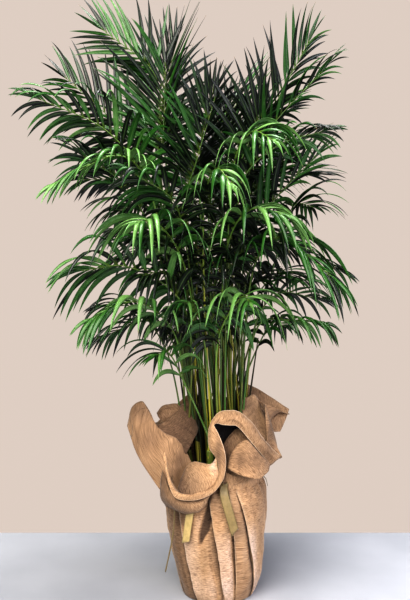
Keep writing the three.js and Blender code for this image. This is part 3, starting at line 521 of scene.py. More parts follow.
def pot_look():
    """Black moulded plastic with scuffs."""
    look = Look("moulded_pot", Specular_IOR_Level=0.5)
    place = look.place()
    grain = look.noise(place, 900.0, 3.0, 0.6)
    scuffs = look.noise(look.stretch(place, (30.0, 30.0, 8.0)), 1.0, 5.0, 0.7)
    black = look.mix(look.ramp(scuffs, 0.45, 0.8), (0.016, 0.016, 0.015), (0.055, 0.052, 0.046))
    normal = look.bump(grain, 0.25, 0.0004)
    return look.finish(black, look.ramp(scuffs, 0.3, 0.8, 0.42, 0.68), normal)


def soil_look():
    """Dark crumbly potting mix, and bark and pale crumbs that the pick tells apart."""
    look = Look("bark_soil", Specular_IOR_Level=0.2)
    place = look.place()
    pick = look.attribute("pick")
    crumbs = look.noise(place, 190.0, 5.0, 0.7)
    damp = look.noise(place, 22.0, 2.0, 0.5)
    brown = look.mix(look.ramp(crumbs, 0.35, 0.7), (0.014, 0.009, 0.005), (0.085, 0.05, 0.028))
    brown = look.mix(look.ramp(damp, 0.4, 0.7, 0.0, 0.5), brown, (0.02, 0.013, 0.008))
    bark = look.mix(look.ramp(crumbs, 0.4, 0.7), (0.07, 0.035, 0.016), (0.24, 0.14, 0.07))
    brown = look.mix(look.ramp(pick, 0.3, 0.6), brown, bark)
    brown = look.mix(look.ramp(pick, 0.94, 0.96), brown, (0.7, 0.68, 0.62))
    normal = look.bump(crumbs, 0.8, 0.003)
    return look.finish(brown, 0.92, normal)


def floor_look():
    """A plain pale floor."""
    look = Look("pale_floor", Specular_IOR_Level=0.3)
    place = look.place()
    cloud = look.noise(place, 2.2, 4.0, 0.55)
    pale = look.mix(look.ramp(cloud, 0.3, 0.7), (0.385, 0.395, 0.425), (0.445, 0.455, 0.485))
    return look.finish(pale, look.ramp(cloud, 0.3, 0.7, 0.42, 0.55))


LEAF, STALK, CANE, OLD = leaf_look(), stalk_look(), cane_look(), old_and_shade_look()
PAPER, RIBBON = paper_look(), ribbon_look()
POT, SOIL, FLOOR = pot_look(), soil_look(), floor_look()

# ------------------------------------------------------------------ camera, floor and light

CAMERA_PLACE = (-0.035, -2.300, 1.000)
CAMERA_TILT = 3.5  # degrees below the horizon
FOCAL_PIXELS = 793.0
FRAME_WIDTH, FRAME_HEIGHT = 410.0, 600.0

# The floor ends a little behind the plant, where the wall begins in the photo.
FLOOR_LEFT, FLOOR_RIGHT, FLOOR_NEAR, FLOOR_FAR = -3.5, 3.5, -4.0, 0.47
FLOOR_Z = -0.0004  # just under the flat base of the paper

WALL_COLOUR = (0.786, 0.685, 0.620, 1.0)
AMBIENT_COLOUR = (0.80, 0.78, 0.76, 1.0)
AMBIENT_STRENGTH = 0.06
VIEW_GAMMA = 0.78

# Each light: its name, its place, what it aims at, its diameter, its power and its colour.
LIGHTS = [
    ("key", (-1.1, -2.4, 2.8), (0, 0, 0.8), 3.2, 295.0, (1.0, 0.97, 0.93)),
    ("fill", (2.1, -2.2, 1.3), (0, 0, 0.4), 1.8, 62.0, (0.95, 0.93, 1.05)),
    ("side", (3.0, -0.5, 2.4), (0.15, 0, 0.1), 1.6, 60.0, (0.93, 0.95, 1.05)),
    ("top", (0.2, 0.1, 3.4), (0, 0, 1.0), 1.4, 120.0, (1.0, 1.0, 1.0)),
]


def make_camera():
    """The photo's camera."""
    data = bpy.data.cameras.new("camera")
    data.sensor_fit = "AUTO"
    data.sensor_width = 36.0
    data.lens = FOCAL_PIXELS / FRAME_HEIGHT * data.sensor_width
    data.dof.use_dof = False
    camera = bpy.data.objects.new("camera", data)
    camera.location = CAMERA_PLACE
    camera.rotation_euler = (math.radians(90.0 - CAMERA_TILT), 0.0, 0.0)
    SCENE.collection.objects.link(camera)
    bpy.context.scene.camera = camera


def make_floor():
    """A flat floor, which is not part of the object."""
    mesh = bpy.data.meshes.new("floor")
    corners = [
        (FLOOR_LEFT, FLOOR_NEAR, 0), (FLOOR_RIGHT, FLOOR_NEAR, 0),
        (FLOOR_RIGHT, FLOOR_FAR, 0), (FLOOR_LEFT, FLOOR_FAR, 0),
    ]
    mesh.from_pydata(corners, [], [(0, 1, 2, 3)])
    mesh.materials.append(FLOOR)
    floor = bpy.data.objects.new("floor", mesh)
    floor.location.z = FLOOR_Z
    SCENE.collection.objects.link(floor)


def make_light(name, place, aim, size, power, colour):
    """A round area light that faces its aim."""
    data = bpy.data.lights.new(name, "AREA")
    data.shape = "DISK"
    data.size = size
    data.energy = power
    data.color = colour
    light = bpy.data.objects.new(name, data)
    light.location = place
    toward = Vector(np.array(aim, float) - np.array(place, float))
    light.rotation_euler = toward.to_track_quat("-Z", "Y").to_euler()
    SCENE.collection.objects.link(light)


def make_world():
    """The camera sees the wall's colour, and the object gets a faint even light."""
    world = bpy.data.worlds.new("world")
    world.use_nodes = True
    tree = world.node_tree
    seen = tree.nodes["Background"]
    seen.inputs["Color"].default_value = WALL_COLOUR
    soft = tree.nodes.new("ShaderNodeBackground")
    soft.inputs["Color"].default_value = AMBIENT_COLOUR
    soft.inputs["Strength"].default_value = AMBIENT_STRENGTH
    path = tree.nodes.new("ShaderNodeLightPath")
    both = tree.nodes.new("ShaderNodeMixShader")
    tree.links.new(path.outputs["Is Camera Ray"], both.inputs[0])
    tree.links.new(soft.outputs[0], both.inputs[1])
    tree.links.new(seen.outputs[0], both.inputs[2])
    tree.links.new(both.outputs[0], tree.nodes["World Output"].inputs["Surface"])
    SCENE.world = world
    SCENE.view_settings.view_transform = "Standard"
    SCENE.view_settings.gamma = VIEW_GAMMA


make_camera()
make_floor()
make_world()
for settings in LIGHTS:
    make_light(*settings)

# ------------------------------------------------------------------ canes

CANE_SIDES, CANE_STEPS = 20, 34
CANE_STEM_SLIMMER = 1.2  # than its socket, in radius
# The sheath's mouth, which turns in round the stalks: share of its width, and height over the stem.
CANE_MOUTH = [(0.93, 3.0), (0.72, 4.5), (0.4, 3.0)]


def cane_points(cane):
    """The cane's line from its foot to its top: a quadratic curve's three corners."""
    (x, y), top = CANES[cane]
    foot = np.array([x, y, SOIL_EDGE_Z + CANE_STRAIGHT])
    top = np.array(top, float)
    elbow = lerp(foot, top, np.array([0.3, 0.3, 0.5]))
    return foot, elbow, top


def cane_line(cane, shares):
    """Points on the cane's line at shares from its foot to its top."""
    foot, elbow, top = cane_points(cane)
    share = np.atleast_1d(shares)[:, None]
    return (1 - share) ** 2 * foot + 2 * share * (1 - share) * elbow + share**2 * top


def cane_aim(cane):
    """The direction in which the cane points at its top."""
    _, elbow, top = cane_points(cane)
    return unit(top - elbow)


def socket_side(name):
    """The direction, from the cane's middle, in which a frond's stalk leaves its cane."""
    cane, path, _ = ALL_FRONDS[name]
    away = cane_line(cane, 1.0)[0]
    if name in FRONDS:
        partner = next(n for n, (c, _, _) in FRONDS.items() if c == cane and n != name)
        away = np.array(FRONDS[partner][1][0], float)
    apart = np.array(path[0], float) - away
    apart[2] = 0
    return unit(apart)


def make_cane(cane):
    """A fluted stem with the edges of its sheaths, from below the soil to its stalks' sockets."""
    rng = np.random.default_rng(400 + cane)
    wide = socket_side(next(name for name, frond in FRONDS.items() if frond[0] == cane))
    narrow = np.array([-wide[1], wide[0], 0])
    root = np.array([[*CANES[cane][0], SOIL_EDGE_Z - CANE_ROOT_DEPTH]])
    middles = np.vstack([root, cane_line(cane, np.linspace(0, 1, CANE_STEPS))])
    sheath_edges = np.sort(rng.uniform(0.2, 0.85, 3))
    turn = rng.uniform(0, 2 * np.pi)
    around = circle_angles(CANE_SIDES)
    flute = 1 + 0.035 * np.sin(3 * around + turn) + 0.02 * np.sin(7 * around + 2 * turn)
    rings = []
    for step, middle in enumerate(middles):
        share = max(0.0, (step - 1) / (CANE_STEPS - 1))
        radius = lerp(CANE_FOOT_RADIUS, CANE_TOP_RADIUS - CANE_STEM_SLIMMER, share**1.6)
        for edge in sheath_edges:
            past = share - edge
            radius += 0.55 * smoothstep(0, 0.02, past) - 0.4 * smoothstep(0, 0.3, past)
        stretch = 1 + 0.12 * share
        local = np.stack([np.cos(around), np.sin(around)], 1) * (radius * flute)[:, None]
        rings.append(middle + local[:, :1] * stretch * wide + local[:, 1:] / stretch * narrow)
    rim = rings[-1]
    centre = rim.mean(0)
    for inward, lift in CANE_MOUTH:
        rings.append(centre + (rim - centre) * inward + cane_aim(cane) * lift)
    vertices = np.vstack([*rings, rings[0].mean(0)[None], rings[-1].mean(0)[None]])
    faces = grid_faces(len(rings), CANE_SIDES, True)
    bottom, lid = len(vertices) - 2, len(vertices) - 1
    last = (len(rings) - 1) * CANE_SIDES
    for column in range(CANE_SIDES):
        after = (column + 1) % CANE_SIDES
        faces.append((bottom, after, column))
        faces.append((lid, last + column, last + after))
    along = np.concatenate([np.repeat(np.linspace(0, 1, len(rings)), CANE_SIDES), [0, 1]])
    pick = np.full(len(vertices), rng.uniform())
    make_piece(
        f"cane_stem_{cane + 1}", vertices, faces, [CANE], "cane", [f"cane_{cane + 1}"],
        along=along, pick=pick,
    )


for cane in range(len(CANES)):
    make_cane(cane)

# ------------------------------------------------------------------ fronds

LEAFY_START = 0.5  # share of a frond's line where its leafy part begins
# Painted shade inside the crown starts this far from the middle.
CROWN_CORE = 230.0  # the leaflets darken from this far from the middle inwards
RIB_RINGS = 46
RIB_SIDES = 8
FILLER_STALK = 0.95  # a filler's stalk is this much of a frond's in width
LEAFLET_GAP = 23.0  # along the rib, from one pair to the next
# Fronds with broader, longer leaflets that stand farther apart.
BROAD = {
    "right_mid": 1.4, "front_low": 1.4, "front_left": 1.35, "front_right": 1.35, "left_low": 1.25,
    "right_hanging": 1.2, "front_small": 1.3, "front_high": 1.25, "left_mid": 1.15,
}
BLADE_STEPS = 13
BLADE_WIDTH = 19.5
BLADE_THICKNESS = 0.55
# The places round a blade's section: share of its half width, and which face they lie on.
SECTION = np.array([[-1, 0], [-0.5, 0], [0, 0], [0.5, 0], [1, 0], [0.5, 1], [0, 1], [-0.5, 1]], float)


def frond_line(name):
    """The points of a frond's line: in the cane's socket, at its mouth and on its path."""
    cane, path, _ = ALL_FRONDS[name]
    aim = cane_aim(cane)
    mouth = cane_line(cane, 1.0)[0] + socket_side(name) * SOCKET_SPREAD
    return np.vstack([mouth - aim * SOCKET_DEPTH, mouth + aim * SOCKET_DEPTH / 2, path])


def frond_frame(name, line, shares):
    """Middle, forward, side and upper directions of the rib at places on its line."""
    _, path, (_, _, _, turn, _) = ALL_FRONDS[name]
    shares = np.atleast_1d(shares)
    middle = spline(line, shares)
    along = tangents(line, shares)
    heading = np.array(path[2], float) - np.array(path[0], float)
    heading[2] = 0
    side = np.cross(unit(heading), UP) * np.ones((len(shares), 1))
    side = unit(side - along * np.sum(side * along, 1, keepdims=True))
    angle = np.radians(turn) * np.minimum(1, shares / LEAFY_START) * np.where(side[:, 1] > 0, -1, 1)
    angle = -angle[:, None]
    side = side * np.cos(angle) + np.cross(along, side) * np.sin(angle)
    return middle, along, side, np.cross(side, along)


def blade_width(share):
    """The width along a leaflet, as a share of its greatest width."""
    root = 0.3 + 0.7 * smoothstep(0, 0.24, share)
    return root * np.maximum(0, 1 - share**2.3) ** 0.95


def blade(root, along, side, over, leaflet):
    """Vertices and attributes of one leaflet, as rings of its folded lens section."""
    spread, lift = math.radians(leaflet["spread"]), math.radians(leaflet["lift"])
    aim = along * math.cos(spread)
    aim = aim + side * leaflet["hand"] * math.sin(spread) * math.cos(lift)
    aim = aim + over * math.sin(spread) * math.sin(lift)
    step = leaflet["length"] / BLADE_STEPS
    shares = np.linspace(0, 1, BLADE_STEPS + 1)
    middle = (shares[:-1] + shares[1:]) / 2
    bend = leaflet["droop"] * 1.25 * middle**1.65
    curl = leaflet["curl"] * middle**1.2
    headings = unit(aim - bend[:, None] * UP + curl[:, None] * along)
    places = np.vstack([root, root + np.cumsum(headings * step, 0)])
    headings = unit(np.vstack([headings[:1], (headings[1:] + headings[:-1]) / 2, headings[-1:]]))
    across = along * np.ones((BLADE_STEPS + 1, 1))
    across = unit(across - headings * np.sum(across * headings, 1, keepdims=True))
    face = np.cross(across, headings)
    flip = np.where(np.sum(face * over, 1, keepdims=True)[:1] < 0, -1.0, 1.0)
    across, face = across * flip, face * flip
    twist = (leaflet["twist"] * (0.3 + shares))[:, None]
    across, face = (
        across * np.cos(twist) + face * np.sin(twist),
        face * np.cos(twist) - across * np.sin(twist),
    )
    half = leaflet["width"] / 2 * blade_width(shares)
    fold = np.sin(leaflet["fold"] * (1 - 0.45 * shares))
    rings = []
    for place, is_under in SECTION:
        height = half * fold * (1 - abs(place) ** 1.25) - is_under * BLADE_THICKNESS
        flat = half * place * np.cos(leaflet["fold"] * 0.8)
        rings.append(places + across * flat[:, None] + face * height[:, None])
    vertices = np.stack(rings, 1)  # steps, section, 3
    return vertices, shares


def leaflet_plan(name, line, rng):
    """What each leaflet of a frond is like, in pairs from its stalk to its tip."""
    _, _, (longest, droop, lift, _, tone) = ALL_FRONDS[name]
    dense = spline(line, np.linspace(LEAFY_START, 1, 60))
    length = np.linalg.norm(np.diff(dense, axis=0), axis=1).sum()
    broad = BROAD.get(name, 1.0)
    pairs = round(length * 0.96 / LEAFLET_GAP / broad)
    plan = []
    for i in range(pairs * 2):
        leafy = (i // 2 + 0.25 + 0.36 * (i % 2) + 0.14 * rng.uniform(-1, 1)) / pairs
        leafy = min(max(leafy, 0.0), 1.0)
        swell = math.sin(math.pi * (0.2 + 0.64 * leafy)) ** 0.8
        plan.append(
            {
                "share": LEAFY_START + (1 - LEAFY_START) * (0.02 + 0.96 * leafy),
                "hand": 1 if i % 2 == 0 else -1,
                "spread": lerp(66, 22, leafy**1.25) + 5 * rng.uniform(-1, 1),
                "lift": lift + 9 * rng.uniform(-1, 1),
                "length": longest * broad**0.4 * swell * rng.uniform(0.92, 1.08),
                "droop": droop * rng.uniform(0.75, 1.3),
                "curl": 0.22 * rng.uniform(0.2, 1.4),
                "twist": 0.35 * rng.uniform(-1, 1),
                "fold": math.radians(rng.uniform(20, 38)),
                "width": BLADE_WIDTH * broad * lerp(1.05, 0.7, leafy) * rng.uniform(0.86, 1.1),
                "tone": tone + 0.04 + 0.42 * rng.uniform(-1, 1) - 0.06 * leafy,
                "pick": rng.uniform(),
            }
        )
    for hand in (1, -1):
        plan.append(
            {
                "share": 0.995, "hand": hand, "spread": 9, "lift": 40, "length": longest * 0.5,
                "droop": droop * 0.5, "curl": 0.1, "twist": 0.0, "fold": 0.4,
                "width": BLADE_WIDTH * 0.62, "tone": tone, "pick": rng.uniform(),
            }
        )
    return plan


def rib_radius(share):
    """The radius of a frond's stalk and rib along its line."""
    stalk = lerp(3.7, 2.5, np.minimum(share / LEAFY_START, 1))
    rib = lerp(2.5, 0.7, np.maximum(share - LEAFY_START, 0) / (1 - LEAFY_START))
    base = 2.0 * np.exp(-((share / 0.16) ** 2))
    return np.where(share < LEAFY_START, stalk + base, rib)


def make_frond(name, seed):
    """A grooved stalk and rib with two rows of leaflets."""
    rng = np.random.default_rng(seed)
    line = frond_line(name)
    shares = np.linspace(0, 1, RIB_RINGS)
    middle, _, side, over = frond_frame(name, line, shares)
    around = circle_angles(RIB_SIDES)
    groove = 1 - 0.28 * np.exp(-(((around - np.pi / 2) / 0.5) ** 2))
    sideways, upwards = np.cos(around), np.sin(around) * groove
    ring = sideways[None, :, None] * side[:, None] + upwards[None, :, None] * over[:, None]
    radius = rib_radius(shares)[:, None, None] * (1.0 if name in FRONDS else FILLER_STALK)
    rib = (middle[:, None] + ring * radius).reshape(-1, 3)
    rib_faces = tube_faces(RIB_RINGS, RIB_SIDES)
    tone = ALL_FRONDS[name][2][4]
    story = {"along": np.repeat(shares, RIB_SIDES), "across": 0, "pick": rng.uniform(), "tone": tone}
    parts = [(rib, rib_faces, story)]
    plan = leaflet_plan(name, line, rng)
    roots = frond_frame(name, line, np.array([leaflet["share"] for leaflet in plan]))
    blade_faces = tube_faces(BLADE_STEPS + 1, len(SECTION))
    for index, leaflet in enumerate(plan):
        rings, steps = blade(*(part[index] for part in roots), leaflet)
        story = {
            "along": np.repeat(steps, len(SECTION)), "across": np.tile(SECTION[:, 0], len(steps)),
            "pick": leaflet["pick"], "tone": leaflet["tone"],
        }
        parts.append((rings.reshape(-1, 3), blade_faces, story))
    points, faces, stories = join(parts)
    # Painted shade: how far each point lies inside the crown, where the leaflets are darkened.
    inner = smoothstep(CROWN_CORE, CROWN_CORE / 3, np.hypot(points[:, 0], points[:, 1]))
    looks = [1] * len(rib_faces) + [0] * (len(faces) - len(rib_faces))
    nodes = [f"frond_{name}"] if name in FRONDS else []
    make_piece(
        f"leaf_{name}", points, faces, [LEAF, STALK], "foliage", nodes, looks,
        **stories, inner=inner,
    )


for number, name in enumerate(ALL_FRONDS):
    make_frond(name, 900 + number)

OLD_STALKS = 46
OLD_SIDES, OLD_STEPS = 6, 14
OLD_REACH, OLD_SET_BACK = 78, 10  # they stand this far out, and this far behind the middle
OLD_ROOT_DEPTH = 20


def make_old_stalks():
    """Dark leafless stalks and sheath fibres that fill the clump between the canes, their near-black colour
    partly painted shade between them.
    """
    rng = np.random.default_rng(77)
    shares = np.linspace(0, 1, OLD_STEPS)
    ring = around_z(1.0, circle_angles(OLD_SIDES), 0.0)
    faces = tube_faces(OLD_STEPS, OLD_SIDES)
    parts = []
    for _ in range(OLD_STALKS):
        turn, reach = rng.uniform(0, 2 * np.pi), OLD_REACH * math.sqrt(rng.uniform())
        x, y = reach * math.cos(turn), OLD_SET_BACK + 0.8 * reach * math.sin(turn)
        foot = np.array([x, y, SOIL_EDGE_Z - OLD_ROOT_DEPTH])
        height = rng.uniform(260, 520)
        lean = foot * [0.55, 0.55, 0] * height / 400
        lean = lean + [rng.uniform(-8, 8), rng.uniform(-8, 8), height]
        middles = spline([foot, foot + lean * [0.35, 0.35, 0.5], foot + lean], shares)
        radius = lerp(rng.uniform(3.2, 4.6), 1.4, shares**2)[:, None, None]
        points = (middles[:, None] + ring[None] * radius).reshape(-1, 3)
        parts.append((points, faces, {"along": np.repeat(shares, OLD_SIDES), "pick": rng.uniform()}))
    points, faces, stories = join(parts)
    make_piece("old_stalks_and_shade", points, faces, [OLD], "cane", **stories)


make_old_stalks()

# ------------------------------------------------------------------ the paper wrap

PAPER_THICKNESS = 0.9
BASE_FLAT_RADIUS = 95.0
TIE_Z = 352.0
TIE_RADIUS = 128.0
TIE_GROOVE = 6.0

# How the paper stands over the tie, at angles round the pot: radius and height of six places on
# the way from the tie to the hem.
COLLAR = [
    (5, [(148, 380), (165, 405), (162, 445), (150, 490), (140, 530), (128, 560)]),
    (22, [(145, 385), (158, 420), (164, 460), (178, 500), (205, 515), (240, 505)]),
    (38, [(140, 388), (148, 435), (152, 485), (160, 530), (180, 548), (205, 540)]),
    (55, [(136, 390), (140, 440), (143, 490), (146, 535), (150, 570), (154, 590)]),
    (75, [(132, 388), (134, 425), (136, 465), (138, 500), (142, 530), (148, 550)]),
    (100, [(132, 385), (134, 420), (138, 455), (142, 490), (148, 520), (156, 540)]),
    (125, [(134, 388), (138, 430), (142, 470), (145, 510), (147, 540), (148, 562)]),
    (148, [(138, 388), (148, 430), (158, 470), (165, 500), (178, 512), (190, 490)]),
    (165, [(140, 388), (152, 420), (160, 450), (168, 480), (185, 488), (200, 468)]),
    (180, [(142, 392), (158, 430), (178, 475), (196, 510), (222, 512), (240, 480)]),
    (195, [(148, 400), (178, 468), (205, 540), (221, 573), (250, 556), (264, 500)]),
    (207, [(140, 395), (162, 450), (184, 497), (199, 516), (234, 490), (240, 412)]),
    (220, [(128, 400), (136, 442), (150, 470), (180, 452), (196, 390), (190, 322)]),
    (228, [(122, 390), (126, 424), (135, 442), (150, 424), (158, 376), (158, 322)]),
    (236, [(118, 382), (119, 396), (125, 404), (133, 394), (139, 364), (142, 324)]),
    (247, [(114, 372), (115, 384), (122, 390), (130, 382), (136, 358), (140, 330)]),
    (258, [(112, 370), (113, 382), (120, 388), (128, 380), (134, 358), (138, 334)]),
    (268, [(110, 372), (112, 386), (119, 392), (126, 384), (132, 362), (136, 344)]),
    (280, [(110, 372), (112, 388), (119, 394), (127, 386), (132, 364), (136, 348)]),
    (293, [(112, 374), (114, 390), (121, 396), (128, 388), (133, 368), (137, 352)]),
    (306, [(120, 380), (124, 402), (132, 412), (139, 404), (143, 382), (145, 362)]),
    (320, [(134, 382), (144, 412), (150, 440), (158, 448), (168, 424), (172, 388)]),
    (335, [(146, 376), (168, 400), (174, 436), (170, 478), (162, 516), (152, 542)]),
    (350, [(150, 374), (178, 400), (176, 440), (166, 484), (152, 528), (136, 560)]),
]

# Folds that lie over the collar, as rows of marks across each fold. A mark is a pixel of the
# photo, across and down, and a depth in millimetres, less than 0 in front of the pot's middle.
# The pixels were read off the photo and the depths were chosen.

# The band that folds over along the lip and the right arch: at each mark the pixels of its folded
# edge and of its hem, and its depth.
BAND = [
    ((165, 452), (163, 456), -150), ((168, 468), (166, 473), -158), ((172, 482), (170, 488), -165),
    ((178, 491), (176, 498), -169), ((188, 493), (188, 501), -171), ((199, 491), (201, 499), -171),
    ((209, 487), (213, 493), -170), ((216, 480), (222, 482), -168), ((218, 470), (226, 468), -166),
    ((216, 459), (225, 453), -164), ((210, 449), (221, 440), -160), ((208, 438), (217, 431), -156),
    ((209, 427), (214, 425), -152), ((214, 417), (217, 423.5), -150), ((221, 411), (222, 424.5), -150),
    ((230, 410), (229, 425.5), -150), ((240, 412), (236, 426), -148), ((249, 419), (243, 432), -145),
    ((257, 429), (250, 441), -138), ((265, 440), (257, 449), -126), ((273, 449), (263, 456), -110),
    ((281, 457), (270, 465), -90),
]
# Its rows, from behind the folded edge to the hem: share of the way from the edge to the hem,
# depth added, and depth that is added as the band opens.
BAND_ROWS = [(0.22, 4, 34), (0.02, 1, 14), (0.38, 0, -4), (0.75, 0, -5), (1.0, 0, -4)]
BAND_OPENS_OVER = 3  # marks

# The paper under the collar's edge at the front right lies on circles round the pot: a circle's
# radius, and its marks, each with how much farther out it is instead of a depth.
UNDER_HEM = [
    (131, [(226, 472, 0), (230.5, 474, 2.5), (235, 475.5, 0.5), (240, 476.5, 3), (245, 477, 0.5),
           (250, 477.5, 3), (255, 477.5, 0.5), (261, 475, 2)]),
    (133.5, [(226, 480, 0), (230.5, 482, 3), (235, 483, 0.5), (240, 483.5, 3.5), (245, 484, 0.5),
             (250, 484, 3), (256, 483, 0.5), (262.5, 480, 2)]),
    (131, [(226, 493, 0), (230.5, 494, 3.5), (235, 494.5, 0), (240, 494.5, 4), (245.5, 494.5, 0),
           (251, 494, 3), (257, 492, 0), (264, 488, 1)]),
]


def seen_at(across, down, depth):
    """The place, at a depth, that the camera sees at a pixel of the photo."""
    x, y, z = (distance / MM for distance in CAMERA_PLACE)
    tilt = math.radians(CAMERA_TILT)
    side = (across - FRAME_WIDTH / 2) / FOCAL_PIXELS
    rise = (FRAME_HEIGHT / 2 - down) / FOCAL_PIXELS
    reach = (depth - y) / (math.cos(tilt) + rise * math.sin(tilt))
    return x + reach * side, depth, z + reach * (rise * math.cos(tilt) - math.sin(tilt))


def mark_on_circle(across, down, radius):
    """The mark at a pixel where the camera sees a circle round the pot."""
    depth = -radius
    for _ in range(40):
        x = seen_at(across, down, depth)[0]
        depth = -math.sqrt(max(1.0, radius**2 - x**2))
    return across, down, depth


def band_rows():
    """The band's rows of marks."""
    rows = []
    for share, back, opening in BAND_ROWS:
        row = []
        for number, (edge, hem, depth) in enumerate(BAND):
            opened = min(1, number / BAND_OPENS_OVER)
            across, down = (lerp(a, b, share) for a, b in zip(edge, hem))
            row.append((across, down, depth + back + opening * opened))
        rows.append(row)
    return rows


PAPER_FOLDS = {
    "band": band_rows(),
    "lip": [
        [(179, 488, -140), (184, 479, -112), (189, 469, -104), (195, 464, -102), (203, 465, -102),
         (210, 466, -106), (215, 461, -125)],
        [(178, 487, -150), (182, 476, -134), (187, 466, -128), (194, 461.5, -126), (203, 462.5, -126),
         (211, 464, -130), (216, 458, -142)],
        [(178, 488.5, -158), (182.5, 480, -152), (188, 472, -150), (195, 468, -148), (204, 468, -148),
         (211, 467, -148), (216.5, 461, -152)],
        [(178.5, 490, -163), (184, 486, -164), (190.5, 483, -166), (198, 481, -166), (206, 479, -166),
         (213, 475, -162), (217.5, 467, -158)],
        [(179, 492, -166), (185, 494, -168), (192, 495, -170), (200, 494, -170), (208, 490, -169),
         (214.5, 484, -166), (219, 474, -163)],
    ],
    "hollow": [
        [(222, 446, -112), (229, 436, -106), (238, 428, -104), (246, 434, -106), (255, 446, -104)],
        [(224, 455, -124), (231, 447, -118), (240, 440, -116), (249, 446, -116), (258, 456, -112)],
        [(226, 464, -134), (232, 459, -128), (241, 456, -126), (251, 459, -126), (261, 464, -118)],
        [(227, 470, -140), (234, 472, -136), (244, 472, -134), (254, 472, -132), (264, 470, -120)],
    ],
    "panel": [
        [(244, 442, -116), (239, 451, -118), (234, 461, -122), (231, 469, -126)],
        [(240.5, 442, -134), (234.5, 449, -139), (229.5, 459, -144), (227.5, 468, -150)],
        [(247, 440, -141), (243, 451, -150), (239, 463, -156), (237, 474, -162)],
        [(254, 447, -137), (252, 458, -148), (249, 469, -156), (247, 477.5, -163)],
        [(262, 456, -122), (262, 463, -132), (261, 471, -142), (259, 479, -150)],
        [(270, 463, -96), (270, 466, -102), (269.5, 469, -108), (269, 471, -112)],
    ],
    "belly": [
        [(162, 470, -132), (170, 490, -152), (178, 498, -160), (189, 501, -163), (201, 499, -163),
         (212, 493, -160)],
        [(160, 486, -128), (169, 498, -158), (179, 504, -166), (190, 506, -168), (200, 504, -168),
         (209, 498, -162)],
        [(161, 498, -118), (171, 506, -150), (181, 510, -160), (191, 511.5, -162), (199, 510, -160),
         (206, 504, -156)],
        [(166, 506, -112), (174, 510, -132), (183, 513, -142), (191, 513.5, -144), (198, 512, -143),
         (204, 507, -141)],
    ],
    "inner_left": [
        [(150, 424, -78), (162, 434, -88), (174, 444, -98), (186, 454, -106)],
        [(160, 424, -66), (169, 430, -76), (180, 439, -88), (190, 447, -98)],
        [(168, 419, -54), (175, 422, -60), (185, 430, -70), (194, 439, -84)],
        [(175, 413, -36), (180, 413, -42), (189, 422, -54), (197, 434, -70)],
        [(179, 407, -12), (184, 404, -10), (192, 414, -30), (199, 428, -50)],
    ],
    # A near-black sheet behind the hollow, which is painted shade in the wrap's inside.
    "hollow_shade_sheet": [
        [(212, 418, -96), (224, 414, -92), (240, 418, -90)],
        [(217, 434, -98), (228, 436, -94), (242, 434, -92)],
        [(224, 452, -100), (234, 452, -98), (246, 450, -96)],
    ],
    "grey": [
        [(240, 402, -30), (247, 397, -14), (254, 394.5, 0), (258, 399, 8), (259, 403, 30)],
        [(243, 414, -56), (250, 412, -44), (257, 411, -32), (263, 414, -22), (263, 418, 2)],
        [(250, 428, -80), (257, 427, -66), (264, 427, -54), (269.5, 429, -46), (268, 432, -24)],
        [(262, 443, -98), (267, 442, -86), (272, 441, -76), (275.5, 443, -68), (274, 446, -46)],
        [(274, 457, -92), (276, 456, -86), (279, 455, -80), (281.5, 457, -76), (280, 459, -56)],
    ],
    "flap": [
        [(245, 383, 110), (258, 389, 104), (272, 398, 98), (289, 409, 90)],
        [(247, 391, 96), (258, 399, 86), (271, 409, 78), (286.5, 417, 74)],
        [(251, 400, 70), (260, 411, 58), (270, 422, 46), (283, 426, 54)],
        [(256, 410, 50), (263, 422, 36), (270, 431, 24), (280, 431.5, 36)],
    ],
    "under_hem": [
        [mark_on_circle(across, down, radius + more) for across, down, more in marks]
        for radius, marks in UNDER_HEM
    ],
    "ear": [
        [(159, 416, -8), (163, 409, -4), (170, 407, 0), (177, 407, 4), (181, 411, 6)],
        [(157, 413, -24), (162, 406, -18), (170, 403.5, -14), (178, 404, -8), (182, 408, -4)],
        [(158.5, 417, -44), (164, 413, -44), (170.5, 411, -40), (177, 409, -30), (181, 409.5, -20)],
        [(161, 421, -46), (166, 424.5, -48), (171.5, 419, -44), (176.5, 414, -36), (181, 411, -26)],
    ],
}

# Folds that get a painted highlight line along their hem.
HEM_HIGHLIGHT_FOLDS = {"band", "ear"}

# How light the paper is in each fold, and in each pleat of the body from its edge onwards.
# This is partly the paper's own colour and partly painted light and shade: darker in hollows,
# folds and the inside, paler on lit sides.
FOLD_TONES = {
    "band": (0.5, 0.4), "lip": (0.1, 0.6), "hollow": (0.2, 0.38), "panel": (0.36, 0.42),
    "belly": (0.2, 0.42), "inner_left": (0.2, 0.12), "hollow_shade_sheet": (0, 0), "grey": (0.3, 0.46),
    "flap": (0.2, 0.32), "under_hem": (0.42, 0.42), "ear": (0.2, 0.32),
}
PLEAT_TONES = [0.72, 0.5, 0.5, 0.5, 0.5, 0.45, 0.24, 0.58, 0.69, 0.42, 0.85]
# The same over the collar, at angles round the pot.
COLLAR_TONES = [
    (20, 0.3), (80, 0.22), (150, 0.25), (190, 0.34), (215, 0.36), (235, 0.3), (290, 0.3),
    (340, 0.38),
]

# The dip that runs down from under the belly, pressed in and painted dark as painted shade in its
# crease: height, and the angles it lies between.
DIP = [
    (170, 249, 250), (200, 249, 255), (225, 250.5, 261), (262, 254.5, 264), (300, 259, 264),
    (345, 260, 265),
]
DIP_DEPTH = 7.0

